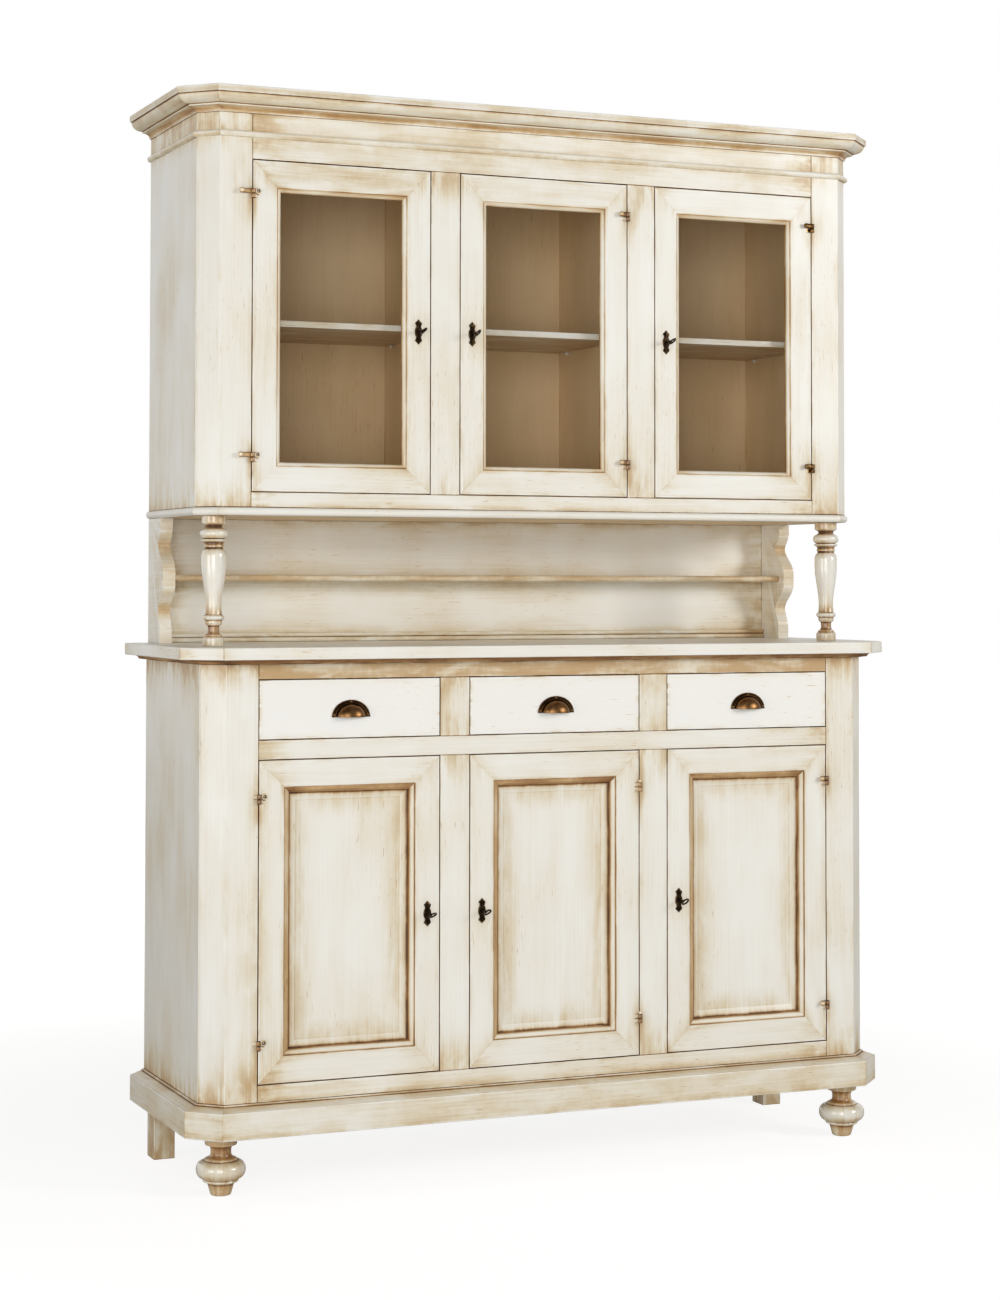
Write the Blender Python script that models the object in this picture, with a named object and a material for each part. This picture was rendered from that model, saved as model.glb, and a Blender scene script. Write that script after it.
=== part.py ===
"""A three-bay country china cabinet: glazed hutch over an open niche over a buffet base.

Metres, +Z up. The cabinet stands on z = 0 with its footprint centred on the origin
and faces -Y. It is built with the front of the base in the plane y = 0 and moved back
to the middle of its footprint at the end.
"""
import math

import bmesh
import bpy
from mathutils import Matrix, Vector

# Clearances
CUT_BEYOND = 0.001         # a cutter runs past the face it opens
SEAT_GAP = 0.0003          # between two pieces that bear on each other
REVEAL = 0.0016            # seen round a door or drawer in its opening
GLASS_GAP = 0.0006         # round a pane or a panel in its rabbet
SHELF_GAP = 0.0006         # at each end of a loose shelf

# Widths, shared by the base and the hutch
BAY_WIDTH = 0.370          # opening for one door or drawer
MULLION_WIDTH = 0.0615
CORNER_FLAT = 0.064        # front face of a corner post
BASE_CANT = 0.040          # the 45 degree corner of the base, each way
HUTCH_CANT = 0.0365

# Depths
BASE_DEPTH = 0.420
HUTCH_SETBACK = 0.054      # from the base front to the hutch front
FRAME_THICKNESS = 0.022    # rails and corner posts
MULLION_DEPTH = 0.030
BACK_THICKNESS = 0.010
BASE_SIDE_THICKNESS = 0.020
HUTCH_SIDE_THICKNESS = 0.025
PARTITION_THICKNESS = 0.018
PARTITION_INSET = 0.017    # centre of a partition from the side of the middle bay
LINING_INSET = 0.035       # inside face of the lining from the outer side of an end bay
LINING_THICKNESS = 0.018

# Heights, from the floor up
FOOT_HEIGHT = 0.112
PLINTH_HEIGHT = 0.0615
BASE_BOTTOM_RAIL = 0.032
LOWER_DOOR_OPENING = 0.6115
DRAWER_RAIL = 0.0365
DRAWER_OPENING = 0.115
BASE_TOP_RAIL = 0.029
COUNTER_MOULDING = 0.009
COUNTER_THICKNESS = 0.0233
NICHE_HEIGHT = 0.250
HUTCH_BOTTOM_THICKNESS = 0.016
HUTCH_BOTTOM_RAIL = 0.0294
GLAZED_OPENING = 0.6416
FRIEZE_HEIGHT = 0.088
CROWN_HEIGHT = 0.045

# Plinth and counter
PLINTH_OVERHANG = 0.0285
PLINTH_BEVEL_HEIGHT = 0.0095
PLINTH_LIP_HEIGHT = 0.002
PLINTH_LIP = 0.004         # how far the lip on top of the bevel stands out from the case
PLINTH_WALL = 0.030
PLINTH_BLOCK = 0.120       # leg of the triangular block in each inside corner
COUNTER_OVERHANG = 0.0445
COUNTER_MOULDING_OUT = 0.029
COUNTER_MOULDING_IN = 0.0155
COUNTER_ARRIS = 0.0015

# Floor of the base and dust boards under the drawers
FLOOR_THICKNESS = 0.020
DUST_BOARD_THICKNESS = 0.012
GUIDE_WIDTH = 0.012
GUIDE_HEIGHT = 0.014

# Rear foot, a plain block
REAR_FOOT_WIDTH = 0.043
REAR_FOOT_DEPTH = 0.050
REAR_FOOT_INSET_X = 0.0075
REAR_FOOT_INSET_Y = 0.002

# Front foot, turned
FOOT_CENTRE_INSET_X = 0.046
FOOT_CENTRE_Y = 0.040
FOOT_DISC_RADIUS = 0.0305
FOOT_NECK_RADIUS = 0.0195
FOOT_COLLAR_RADIUS = 0.031
FOOT_BALL_RADIUS = 0.047
FOOT_RING_RADIUS = 0.034
FOOT_TOE_TOP_RADIUS = 0.0255
FOOT_TOE_RADIUS = 0.020
FOOT_EDGE = 0.001           # eased edge of a turned member
FOOT_TOE_HEIGHT = 0.019     # heights above the floor, from the toe to the collar
FOOT_RING_HEIGHT = 0.028
FOOT_BALL_HEIGHT = 0.048
FOOT_BALL_HALF = 0.0165
FOOT_COLLAR_HEIGHT = 0.066
FOOT_NECK_FOOT = 0.012      # where the straight neck starts above the collar
FOOT_NECK_DROP = 0.027      # where it ends, below the top
FOOT_DISC_HEIGHT = 0.014

# Niche
CHEEK_TOP_DEPTH = 0.090    # the blocks of the sawn front edge, measured from the rear
CHEEK_WAIST_DEPTH = 0.072
CHEEK_MIDDLE_DEPTH = 0.110
CHEEK_FOOT_DEPTH = 0.086
CHEEK_TOP_BLOCK = 0.025    # heights of those blocks
CHEEK_MIDDLE_BLOCK = 0.037
CHEEK_FOOT_BLOCK = 0.031
CHEEK_NOTCH = 0.0025
CHEEK_MIDDLE_RAISE = 0.0055 # middle block above half the niche's height
CHEEK_UPPER_WAIST = 0.029   # narrowest place below the top block
CHEEK_LOWER_WAIST = 0.035   # and above the foot block
RAIL_SHELF_DEPTH = 0.078
RAIL_SHELF_THICKNESS = 0.013
RAIL_SHELF_HEIGHT = 0.1245  # its underside above the counter
SKIRT_HEIGHT = 0.019
SKIRT_DEPTH = 0.011

# Turned post, radii of its members
POST_INSET_X = 0.041
POST_INSET_Y = 0.046
POST_BLOCK_RADIUS = 0.0235
POST_NECK_RADIUS = 0.016
POST_BALL_RADIUS = 0.0273
POST_COLLAR_RADIUS = 0.0248
POST_FILLET_RADIUS = 0.0193
POST_SHOULDER_RADIUS = 0.024
POST_TAPER_RADIUS = 0.0155
POST_BEAD_RADIUS = 0.0207
POST_THROAT_RADIUS = 0.0108
POST_EDGE = 0.001          # eased edge of a turned member
POST_BALL_DROP = 0.0345    # middle of the ball below the top
POST_BALL_ROUND = 0.010
POST_BALL_HALF = 0.0095
POST_NECK_DROP = 0.0205
POST_NECK_HALF = 0.003
POST_BLOCK_HEIGHT = 0.0135
POST_COLLAR_DROP = 0.047
POST_COLLAR_HALF = 0.0015
POST_FILLET_DROP = 0.058
POST_FILLET_HALF = 0.0015
POST_SHOULDER_DROP = 0.078
POST_SHOULDER_HALF = 0.0165
POST_SHOULDER_ROUND = 0.008
POST_TAPER_HEIGHT = 0.066  # where the taper starts above the counter
POST_TAPER_STRAIGHT = 0.022
POST_BEAD_HEIGHT = 0.0545
POST_BEAD_HALF = 0.005
POST_THROAT_HEIGHT = 0.030
POST_THROAT_LENGTH = 0.008
POST_COVE = 0.0035
POST_BASE_HEIGHT = 0.0145
POST_BASE_RADIUS = 0.0208

# Hutch
HUTCH_EDGE_OUT = 0.0055    # half-round edge of the hutch floor
ASTRAGAL_RADIUS = 0.00625
ASTRAGAL_OUT = 0.0075
ASTRAGAL_HEIGHT = 0.047    # its centre above the glazed doors
CROWN_OVERHANG = 0.0445
CROWN_FILLET = 0.013
CROWN_OVOLO_HEIGHT = 0.0175
CROWN_OVOLO_IN = 0.020
CROWN_OVOLO_OUT = 0.041
CROWN_STEP = 0.0035
CROWN_CAVETTO_IN = 0.003
CROWN_CAVETTO_OUT = 0.0165
CROWN_CAVETTO_HEIGHT = 0.009
CROWN_WALL = 0.014
TOP_BOARD_THICKNESS = 0.012
SHELF_THICKNESS = 0.012
SHELF_FRONT = 0.032        # behind the hutch front
SHELF_HEIGHT = 0.3236      # its underside above the bottom of the glazed opening
SHELF_PIN_RADIUS = 0.0025
SHELF_PIN_LENGTH = 0.008
SHELF_PIN_SEAT = 0.006      # how far a pin goes into the lining
SHELF_PIN_INSET = 0.050

# Glazed doors
GLAZED_STILE = 0.051
GLAZED_TOP_RAIL = 0.0535
GLAZED_BOTTOM_RAIL = 0.0503
GLAZED_THICKNESS = 0.020
GLAZED_BEAD_WIDTH = 0.0085
GLAZED_BEAD_DEPTH = 0.0075
GLASS_SEAT = 0.010
GLASS_THICKNESS = 0.003
GLASS_REBATE = 0.007       # how far the pane goes in behind the bead

# Panelled doors
PANELLED_STILE = 0.052
PANELLED_RAIL = 0.0525
PANELLED_THICKNESS = 0.024
PANEL_STICKING_WIDTH = 0.0125
PANEL_STICKING_DEPTH = 0.0085
PANEL_STEP = 0.002
PANEL_BORDER = 0.0145
PANEL_SINK = 0.0165        # the field lies this far behind the face of the door
PANEL_BACK = 0.0225
PANEL_REBATE = 0.007

# Drawers
DRAWER_FRONT = 0.020
DRAWER_REAR_GAP = 0.035    # behind a closed drawer
DRAWER_SIDE_INSET = 0.004
DRAWER_WALL = 0.010
DRAWER_BOTTOM = 0.008
DRAWER_SIDE_HEIGHT = 0.085

# Arris on the face of each door and drawer
FACE_ARRIS = 0.001

# Hinges, a pair to each door
HINGE_RADIUS = 0.0038
HINGE_AXIS_OUT = 0.0043    # its axis in front of the faces it joins
KNUCKLE_HEIGHT = 0.0105
KNUCKLE_GAP = 0.0005
HINGE_BORE = 0.0022
HINGE_PIN_RADIUS = 0.0020
HINGE_PIN_LENGTH = 0.009
HINGE_LEAF = 0.012
HINGE_LEAF_THICKNESS = 0.0016
HINGE_LEAF_INSET = 0.001   # the leaf is this much shorter than its knuckle, each end
HINGE_LEAF_SINK = 0.0008   # how far it is let into the face
HINGE_LEAF_CLEAR = 0.0022  # its let-in part ends this far short of the barrel's reach
HINGE_PIN_SEAT = 0.002     # how far the pin goes up into the fixed knuckle
HINGE_BORE_RELIEF = 0.0005 # the bore is this much deeper than the pin, each end
HINGE_TONGUE = 0.025
HINGE_TONGUE_HEIGHT = 0.0085
HINGE_CURL_RADIUS = 0.0026
GLAZED_HINGE_INSET = 0.067
PANELLED_HINGE_INSET = 0.0745

# Keys and keyhole plates
KEY_INSET = 0.025
KEY_SHANK_RADIUS = 0.0021
KEY_SHANK_IN = 0.013       # how far the shank goes in behind the face
KEY_SHANK_OUT = 0.012
KEY_HOLE_RADIUS = 0.0028
KEY_HOLE_DEPTH = 0.015
KEY_BOW_LENGTH = 0.020
KEY_BOW_WIDTH = 0.016
KEY_BOW_WIRE = 0.0016
PLATE_HEIGHT = 0.050
PLATE_BELLY = 0.016
PLATE_NUB = 0.0145
PLATE_WAIST = 0.0095
PLATE_THICKNESS = 0.0014

# Cup pulls
PULL_WIDTH = 0.078
PULL_HEIGHT = 0.033
PULL_REACH = 0.021
PULL_RIM = 0.0095
PULL_FLANGE = 0.002
PULL_WALL = 0.002

# Opening positions follow from the sizes above
MIDDLE_HALF = BAY_WIDTH / 2
END_BAY_IN = MIDDLE_HALF + MULLION_WIDTH
OPENING_HALF = END_BAY_IN + BAY_WIDTH
FLAT_HALF = OPENING_HALF + CORNER_FLAT
BASE_HALF = FLAT_HALF + BASE_CANT
HUTCH_HALF = FLAT_HALF + HUTCH_CANT
BACK_FACE = BASE_DEPTH - BACK_THICKNESS
FOOTPRINT_MIDDLE = (BASE_DEPTH - COUNTER_OVERHANG) / 2
PARTITION_OFFSET = MIDDLE_HALF + PARTITION_INSET
LINING_OFFSET = OPENING_HALF + LINING_INSET
DRAWER_LENGTH = BACK_FACE - DRAWER_REAR_GAP
BAY_CENTRES = (-(END_BAY_IN + BAY_WIDTH / 2), 0.0, END_BAY_IN + BAY_WIDTH / 2)
BAY_NAMES = ("left", "middle", "right")

Z_PLINTH_TOP = FOOT_HEIGHT + PLINTH_HEIGHT
Z_LOWER_DOOR = Z_PLINTH_TOP + BASE_BOTTOM_RAIL
Z_DRAWER_RAIL = Z_LOWER_DOOR + LOWER_DOOR_OPENING
Z_DRAWER = Z_DRAWER_RAIL + DRAWER_RAIL
Z_TOP_RAIL = Z_DRAWER + DRAWER_OPENING
Z_BASE_TOP = Z_TOP_RAIL + BASE_TOP_RAIL
Z_COUNTER_TOP = Z_BASE_TOP + COUNTER_MOULDING + COUNTER_THICKNESS
Z_HUTCH = Z_COUNTER_TOP + NICHE_HEIGHT
Z_HUTCH_FLOOR = Z_HUTCH + HUTCH_BOTTOM_THICKNESS
Z_GLAZED = Z_HUTCH_FLOOR + HUTCH_BOTTOM_RAIL
Z_FRIEZE = Z_GLAZED + GLAZED_OPENING
Z_CROWN = Z_FRIEZE + FRIEZE_HEIGHT
Z_TOTAL = Z_CROWN + CROWN_HEIGHT
Z_DUST_TOP = Z_DRAWER + REVEAL - SEAT_GAP
Z_SHELF = Z_GLAZED + SHELF_HEIGHT

for leftover in list(bpy.data.objects):
    bpy.data.objects.remove(leftover, do_unlink=True)


def make_material(name, colour, roughness, metallic=0.0, alpha=1.0):
    """A Principled BSDF material; colour is linear red, green, blue."""
    material = bpy.data.materials.new(name)
    material.use_nodes = True
    shader = material.node_tree.nodes["Principled BSDF"]
    shader.inputs["Base Color"].default_value = (*colour, 1.0)
    shader.inputs["Roughness"].default_value = roughness
    shader.inputs["Metallic"].default_value = metallic
    shader.inputs["Alpha"].default_value = alpha
    material.diffuse_color = (*colour, alpha)
    return material


CREAM = make_material("cream_paint", (0.78, 0.74, 0.63), 0.45)
BRONZE = make_material("dark_bronze", (0.09, 0.05, 0.02), 0.35, 1.0)
GLASS = make_material("window_glass", (0.86, 0.89, 0.87), 0.03, 0.0, 0.25)


def add_object(name, mesh_data, material):
    """Link a finished bmesh to the scene as one named object."""
    bmesh.ops.recalc_face_normals(mesh_data, faces=mesh_data.faces)
    mesh = bpy.data.meshes.new(name)
    mesh_data.to_mesh(mesh)
    mesh_data.free()
    mesh.materials.append(material)
    piece = bpy.data.objects.new(name, mesh)
    bpy.context.scene.collection.objects.link(piece)
    return piece


def loft(rings, closed=False):
    """Skin a list of rings of equal length; closed joins the last ring to the first."""
    mesh = bmesh.new()
    rows = [[mesh.verts.new(point) for point in ring] for ring in rings]
    count = len(rows[0])
    pairs = list(zip(rows, rows[1:]))
    if closed:
        pairs.append((rows[-1], rows[0]))
    for low, high in pairs:
        for i in range(count):
            j = (i + 1) % count
            mesh.faces.new((low[i], low[j], high[j], high[i]))
    if not closed:
        mesh.faces.new(list(reversed(rows[0])))
        mesh.faces.new(rows[-1])
    return mesh


def box(low, high):
    """A block between two opposite corners."""
    (x0, y0, z0), (x1, y1, z1) = low, high
    ring = ((x0, y0), (x1, y0), (x1, y1), (x0, y1))
    return loft([[(x, y, z0) for x, y in ring], [(x, y, z1) for x, y in ring]])


def prism_z(outline, z0, z1):
    """Extrude an (x, y) outline upwards."""
    return loft([[(x, y, z0) for x, y in outline], [(x, y, z1) for x, y in outline]])


def prism_x(outline, x0, x1):
    """Extrude a (y, z) outline sideways."""
    return loft([[(x0, y, z) for y, z in outline], [(x1, y, z) for y, z in outline]])


def prism_y(outline, y0, y1):
    """Extrude an (x, z) outline front to back."""
    return loft([[(x, y0, z) for x, z in outline], [(x, y1, z) for x, z in outline]])


def arc(centre, radii, start, end, steps):
    """Points along an elliptical arc, angles in degrees."""
    points = []
    for i in range(steps + 1):
        angle = math.radians(start + (end - start) * i / steps)
        points.append((centre[0] + radii[0] * math.cos(angle),
                       centre[1] + radii[1] * math.sin(angle)))
    return points


def turning(profile, segments):
    """Turn (radius, height) points round the Z axis; both end points lie on the axis."""
    mesh = bmesh.new()
    verts = [mesh.verts.new((radius, 0.0, height)) for radius, height in profile]
    edges = [mesh.edges.new(pair) for pair in zip(verts, verts[1:])]
    bmesh.ops.spin(mesh, geom=verts + edges, cent=(0, 0, 0), axis=(0, 0, 1),
                   angle=math.tau, steps=segments, use_merge=True)
    bmesh.ops.remove_doubles(mesh, verts=mesh.verts, dist=0.00001)
    return mesh


def cylinder(radius, length, segments):
    """A rod standing on z = 0."""
    mesh = bmesh.new()
    bmesh.ops.create_cone(mesh, cap_ends=True, segments=segments, radius1=radius,
                          radius2=radius, depth=length,
                          matrix=Matrix.Translation((0, 0, length / 2)))
    return mesh


def move_mesh(mesh, matrix):
    """Place a bmesh and hand it back."""
    bmesh.ops.transform(mesh, matrix=matrix, verts=mesh.verts)
    return mesh


def combine(piece, tool_mesh, operation):
    """Unite, cut or intersect a piece with another mesh, and keep the result as its mesh."""
    tool = add_object("tool", tool_mesh, piece.data.materials[0])
    modifier = piece.modifiers.new(operation.lower(), "BOOLEAN")
    modifier.operation = operation
    modifier.object = tool
    graph = bpy.context.evaluated_depsgraph_get()
    result = bpy.data.meshes.new_from_object(piece.evaluated_get(graph))
    piece.modifiers.remove(modifier)
    piece.data = result
    bpy.data.objects.remove(tool, do_unlink=True)
    return piece


def unite(piece, tool_mesh):
    """Join another solid on."""
    return combine(piece, tool_mesh, "UNION")


def cut(piece, tool_mesh):
    """Take a solid away."""
    return combine(piece, tool_mesh, "DIFFERENCE")


def set_origin(piece, point):
    """Move the origin of a piece to a point without moving the piece."""
    piece.data.transform(Matrix.Translation(-Vector(point)))
    piece.location = point
    return piece


def canted(flat_half, cant, front, back, out):
    """Plan of a case with 45 degree front corners, its faces moved outwards by out."""
    mitre = out * math.tan(math.pi / 8)
    half = flat_half + cant + out
    flat = flat_half + mitre
    y_front = front - out
    y_cant = front + cant - mitre
    return [(-half, back), (-half, y_cant), (-flat, y_front),
            (flat, y_front), (half, y_cant), (half, back)]


def base_plan(out):
    """Plan of the base."""
    return canted(FLAT_HALF, BASE_CANT, 0.0, BASE_DEPTH, out)


def hutch_plan(out):
    """Plan of the hutch."""
    return canted(FLAT_HALF, HUTCH_CANT, HUTCH_SETBACK, BASE_DEPTH, out)


def moulded(plan, profile):
    """Skin of a moulding run round the front and ends of a case, through (out, z) points."""
    mesh = bmesh.new()
    rows = [[mesh.verts.new((x, y, z)) for x, y in plan(out)] for out, z in profile]
    for low, high in zip(rows, rows[1:]):
        for a, b, c, d in zip(low, low[1:], high[1:], high):
            mesh.faces.new((a, b, c, d))
    return mesh, rows


def stacked(plan, profile):
    """A solid case member with a moulded edge, flat behind, below and on top."""
    mesh, rows = moulded(plan, profile)
    mesh.faces.new([row[0] for row in rows] + [row[-1] for row in reversed(rows)])
    mesh.faces.new(rows[0])
    mesh.faces.new(rows[-1])
    return mesh


def mirrored(outline, side):
    """An (x, y) outline on the right (side 1) or left (side -1) of the cabinet."""
    return [(side * x, y) for x, y in outline]


def smooth(piece, angle=40):
    """Shade a round piece smooth, keeping its crisp edges."""
    piece.data.shade_smooth()
    piece.data.set_sharp_from_angle(angle=math.radians(angle))
    return piece


SIDES = (("left", -1), ("right", 1))


# Feet and plinth

def make_plinth():
    """Mitred plinth ring with a bevelled top and a block in each inside corner."""
    bevel_foot = Z_PLINTH_TOP - PLINTH_LIP_HEIGHT - PLINTH_BEVEL_HEIGHT
    profile = [(PLINTH_OVERHANG, FOOT_HEIGHT),
               (PLINTH_OVERHANG, bevel_foot),
               (PLINTH_OVERHANG - 0.002, bevel_foot + 0.0012),
               (PLINTH_LIP + 0.002, Z_PLINTH_TOP - PLINTH_LIP_HEIGHT),
               (PLINTH_LIP, Z_PLINTH_TOP - PLINTH_LIP_HEIGHT),
               (PLINTH_LIP, Z_PLINTH_TOP)]
    plinth = add_object("plinth", stacked(base_plan, profile), CREAM)
    half = BASE_HALF - PLINTH_WALL
    front = PLINTH_WALL
    back = BASE_DEPTH - PLINTH_WALL
    leg = PLINTH_BLOCK
    hollow = [(-half, front + leg), (-half + leg, front), (half - leg, front),
              (half, front + leg), (half, back - leg), (half - leg, back),
              (-half + leg, back), (-half, back - leg)]
    return cut(plinth, prism_z(hollow, FOOT_HEIGHT - 0.01, Z_PLINTH_TOP + 0.01))


def make_front_foot(name, side):
    """Turned bun foot: disc, neck, collar, ball, ring and tapered toe."""
    top = FOOT_HEIGHT - SEAT_GAP
    collar = FOOT_COLLAR_HEIGHT
    ring = FOOT_RING_HEIGHT
    ball = FOOT_BALL_HEIGHT
    disc = top - FOOT_DISC_HEIGHT
    profile = [(0, 0), (FOOT_TOE_RADIUS - 3 * FOOT_EDGE, 0), (FOOT_TOE_RADIUS, 3 * FOOT_EDGE),
               (FOOT_TOE_TOP_RADIUS - FOOT_EDGE, FOOT_TOE_HEIGHT),
               (FOOT_TOE_TOP_RADIUS + 3 * FOOT_EDGE, FOOT_TOE_HEIGHT + 4.5 * FOOT_EDGE),
               (FOOT_RING_RADIUS - 3 * FOOT_EDGE, ring - 3 * FOOT_EDGE),
               (FOOT_RING_RADIUS, ring), (FOOT_RING_RADIUS, ball - FOOT_BALL_HALF)]
    profile += arc((FOOT_RING_RADIUS, ball),
                   (FOOT_BALL_RADIUS - FOOT_RING_RADIUS, FOOT_BALL_HALF), -75, 80, 7)
    profile += [(FOOT_COLLAR_RADIUS, collar - FOOT_EDGE),
                (FOOT_COLLAR_RADIUS, collar + 1.5 * FOOT_EDGE),
                (FOOT_NECK_RADIUS + 4 * FOOT_EDGE, collar + 5 * FOOT_EDGE),
                (FOOT_NECK_RADIUS, collar + FOOT_NECK_FOOT),
                (FOOT_NECK_RADIUS, top - FOOT_NECK_DROP),
                (FOOT_NECK_RADIUS + 3 * FOOT_EDGE, top - FOOT_NECK_DROP + 6 * FOOT_EDGE),
                (FOOT_DISC_RADIUS - FOOT_EDGE, disc - 2 * FOOT_EDGE),
                (FOOT_DISC_RADIUS, disc), (FOOT_DISC_RADIUS, top), (0, top)]
    foot = add_object(name, turning(profile, 18), CREAM)
    foot.location = (side * (BASE_HALF - FOOT_CENTRE_INSET_X), FOOT_CENTRE_Y, 0)
    return smooth(foot)


def make_rear_foot(name, side):
    """Plain square block under a rear corner."""
    outer = BASE_HALF - REAR_FOOT_INSET_X
    inner = outer - REAR_FOOT_WIDTH
    back = BASE_DEPTH - REAR_FOOT_INSET_Y
    low = (min(side * inner, side * outer), back - REAR_FOOT_DEPTH, 0)
    high = (max(side * inner, side * outer), back, FOOT_HEIGHT - SEAT_GAP)
    return add_object(name, box(low, high), CREAM)


make_plinth()
for word, sign in SIDES:
    make_front_foot("foot_front_" + word, sign)
    make_rear_foot("foot_rear_" + word, sign)


# Hinges, shared by every door and the posts that carry them

def knuckle(axis, face_y, z0, leaf_direction, tongue_direction):
    """One knuckle with its leaf; a tongue with a curled end lies beside it if asked for."""
    x, y = axis
    barrel = move_mesh(cylinder(HINGE_RADIUS, KNUCKLE_HEIGHT, 16),
                       Matrix.Translation((x, y, z0)))
    piece = add_object("knuckle", barrel, CREAM)
    reach = x + leaf_direction * HINGE_LEAF
    leaf = box((min(x, reach), y - HINGE_LEAF_THICKNESS / 2, z0 + HINGE_LEAF_INSET),
               (max(x, reach), face_y + HINGE_LEAF_SINK,
                z0 + KNUCKLE_HEIGHT - HINGE_LEAF_INSET))
    trim = x + leaf_direction * (HINGE_AXIS_OUT - HINGE_LEAF_CLEAR)
    before = x - leaf_direction * CUT_BEYOND
    leaf_mesh = add_object("leaf", leaf, CREAM)
    cut(leaf_mesh, box((min(before, trim), face_y - SEAT_GAP, z0 - CUT_BEYOND),
                       (max(before, trim), face_y + HINGE_LEAF_SINK + CUT_BEYOND,
                        z0 + KNUCKLE_HEIGHT + CUT_BEYOND)))
    unite(piece, take_mesh(leaf_mesh))
    if tongue_direction:
        unite(piece, tongue(x, y, z0, tongue_direction))
    return piece


def take_mesh(piece):
    """The mesh of a helper piece as a bmesh; the piece itself is removed."""
    mesh = bmesh.new()
    mesh.from_mesh(piece.data)
    bpy.data.objects.remove(piece, do_unlink=True)
    return mesh


def tongue(x, y, z0, direction):
    """A strap lying beside the barrel, its far end curled round a short roll."""
    half = HINGE_LEAF_THICKNESS / 2
    far = x + direction * HINGE_TONGUE
    middle = z0 + KNUCKLE_HEIGHT / 2
    strap = add_object("strap", box((min(x, far), y - half, middle - HINGE_TONGUE_HEIGHT / 2),
                                    (max(x, far), y + half, middle + HINGE_TONGUE_HEIGHT / 2)),
                       CREAM)
    roll = cylinder(HINGE_CURL_RADIUS, HINGE_TONGUE_HEIGHT, 10)
    unite(strap, move_mesh(roll, Matrix.Translation(
        (far, y - HINGE_CURL_RADIUS * 0.4, middle - HINGE_TONGUE_HEIGHT / 2))))
    return take_mesh(strap)


def add_fixed_hinges(post, axis_x, face_y, heights, leaf_direction, tongue_here):
    """Join the upper knuckles and their pins to the post that carries a door."""
    axis = (axis_x, face_y - HINGE_AXIS_OUT)
    for height in heights:
        piece = knuckle(axis, face_y, height + KNUCKLE_GAP / 2, leaf_direction,
                        leaf_direction if tongue_here else 0)
        pin = cylinder(HINGE_PIN_RADIUS, HINGE_PIN_LENGTH + HINGE_PIN_SEAT, 16)
        unite(piece, move_mesh(pin, Matrix.Translation(
            (*axis, height + KNUCKLE_GAP / 2 - HINGE_PIN_LENGTH))))
        unite(post, take_mesh(piece))
    return post


def add_door_hinges(door, axis_x, face_y, heights, leaf_direction, tongue_here):
    """Join the lower knuckles, bored for the pins, to a door."""
    axis = (axis_x, face_y - HINGE_AXIS_OUT)
    for height in heights:
        low = height - KNUCKLE_GAP / 2 - KNUCKLE_HEIGHT
        piece = knuckle(axis, face_y, low, leaf_direction,
                        leaf_direction if tongue_here else 0)
        bore = cylinder(HINGE_BORE, HINGE_PIN_LENGTH + KNUCKLE_GAP + 2 * HINGE_BORE_RELIEF, 16)
        cut(piece, move_mesh(bore, Matrix.Translation(
            (*axis, height - HINGE_PIN_LENGTH - HINGE_BORE_RELIEF))))
        unite(door, take_mesh(piece))
    return door


def hinge_heights(opening_z, opening_height, inset):
    """Heights of the two hinges of a door."""
    return (opening_z + inset, opening_z + opening_height - inset)


LOWER_HINGES = hinge_heights(Z_LOWER_DOOR, LOWER_DOOR_OPENING, PANELLED_HINGE_INSET)
UPPER_HINGES = hinge_heights(Z_GLAZED, GLAZED_OPENING, GLAZED_HINGE_INSET)
HINGE_SIDE = (-1, 1, 1)    # the left door hangs on its left edge, the others on their right


def hinge_axis(bay):
    """x of the hinge axis of the doors in one bay, on the middle of the reveal."""
    return BAY_CENTRES[bay] + HINGE_SIDE[bay] * (BAY_WIDTH / 2 - REVEAL / 2)


# Base carcass

def make_base_floor():
    """Floor of the base with the bottom rail along its front edge."""
    side_in = BASE_HALF - BASE_SIDE_THICKNESS - SEAT_GAP
    front = BASE_CANT + SEAT_GAP
    neck = OPENING_HALF - SEAT_GAP
    outline = [(-side_in, BACK_FACE - SEAT_GAP), (-side_in, front), (-neck, front), (-neck, 0),
               (neck, 0), (neck, front), (side_in, front), (side_in, BACK_FACE - SEAT_GAP)]
    low = Z_PLINTH_TOP + SEAT_GAP
    floor = add_object("base_floor", prism_z(outline, low, Z_PLINTH_TOP + FLOOR_THICKNESS), CREAM)
    return unite(floor, box((-neck, 0, low), (neck, FRAME_THICKNESS, Z_LOWER_DOOR)))


def make_base_side(name, side):
    """End board of the base."""
    outer = BASE_HALF
    inner = BASE_HALF - BASE_SIDE_THICKNESS
    outline = mirrored([(inner, BASE_CANT + SEAT_GAP), (outer, BASE_CANT + SEAT_GAP),
                        (outer, BASE_DEPTH), (inner, BASE_DEPTH)], side)
    return add_object(name, prism_z(outline, Z_PLINTH_TOP + SEAT_GAP, Z_BASE_TOP), CREAM)


def make_base_corner(name, side):
    """Canted corner post of the base."""
    inner = BASE_HALF - BASE_SIDE_THICKNESS
    turn = BASE_CANT - FRAME_THICKNESS
    outline = mirrored([(OPENING_HALF, 0), (FLAT_HALF, 0), (BASE_HALF, BASE_CANT),
                        (inner, BASE_CANT), (inner - turn, FRAME_THICKNESS),
                        (OPENING_HALF, FRAME_THICKNESS)], side)
    post = add_object(name, prism_z(outline, Z_PLINTH_TOP + SEAT_GAP, Z_BASE_TOP), CREAM)
    bay = 0 if side < 0 else 2
    return add_fixed_hinges(post, hinge_axis(bay), 0.0, LOWER_HINGES, side, side < 0)


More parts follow.
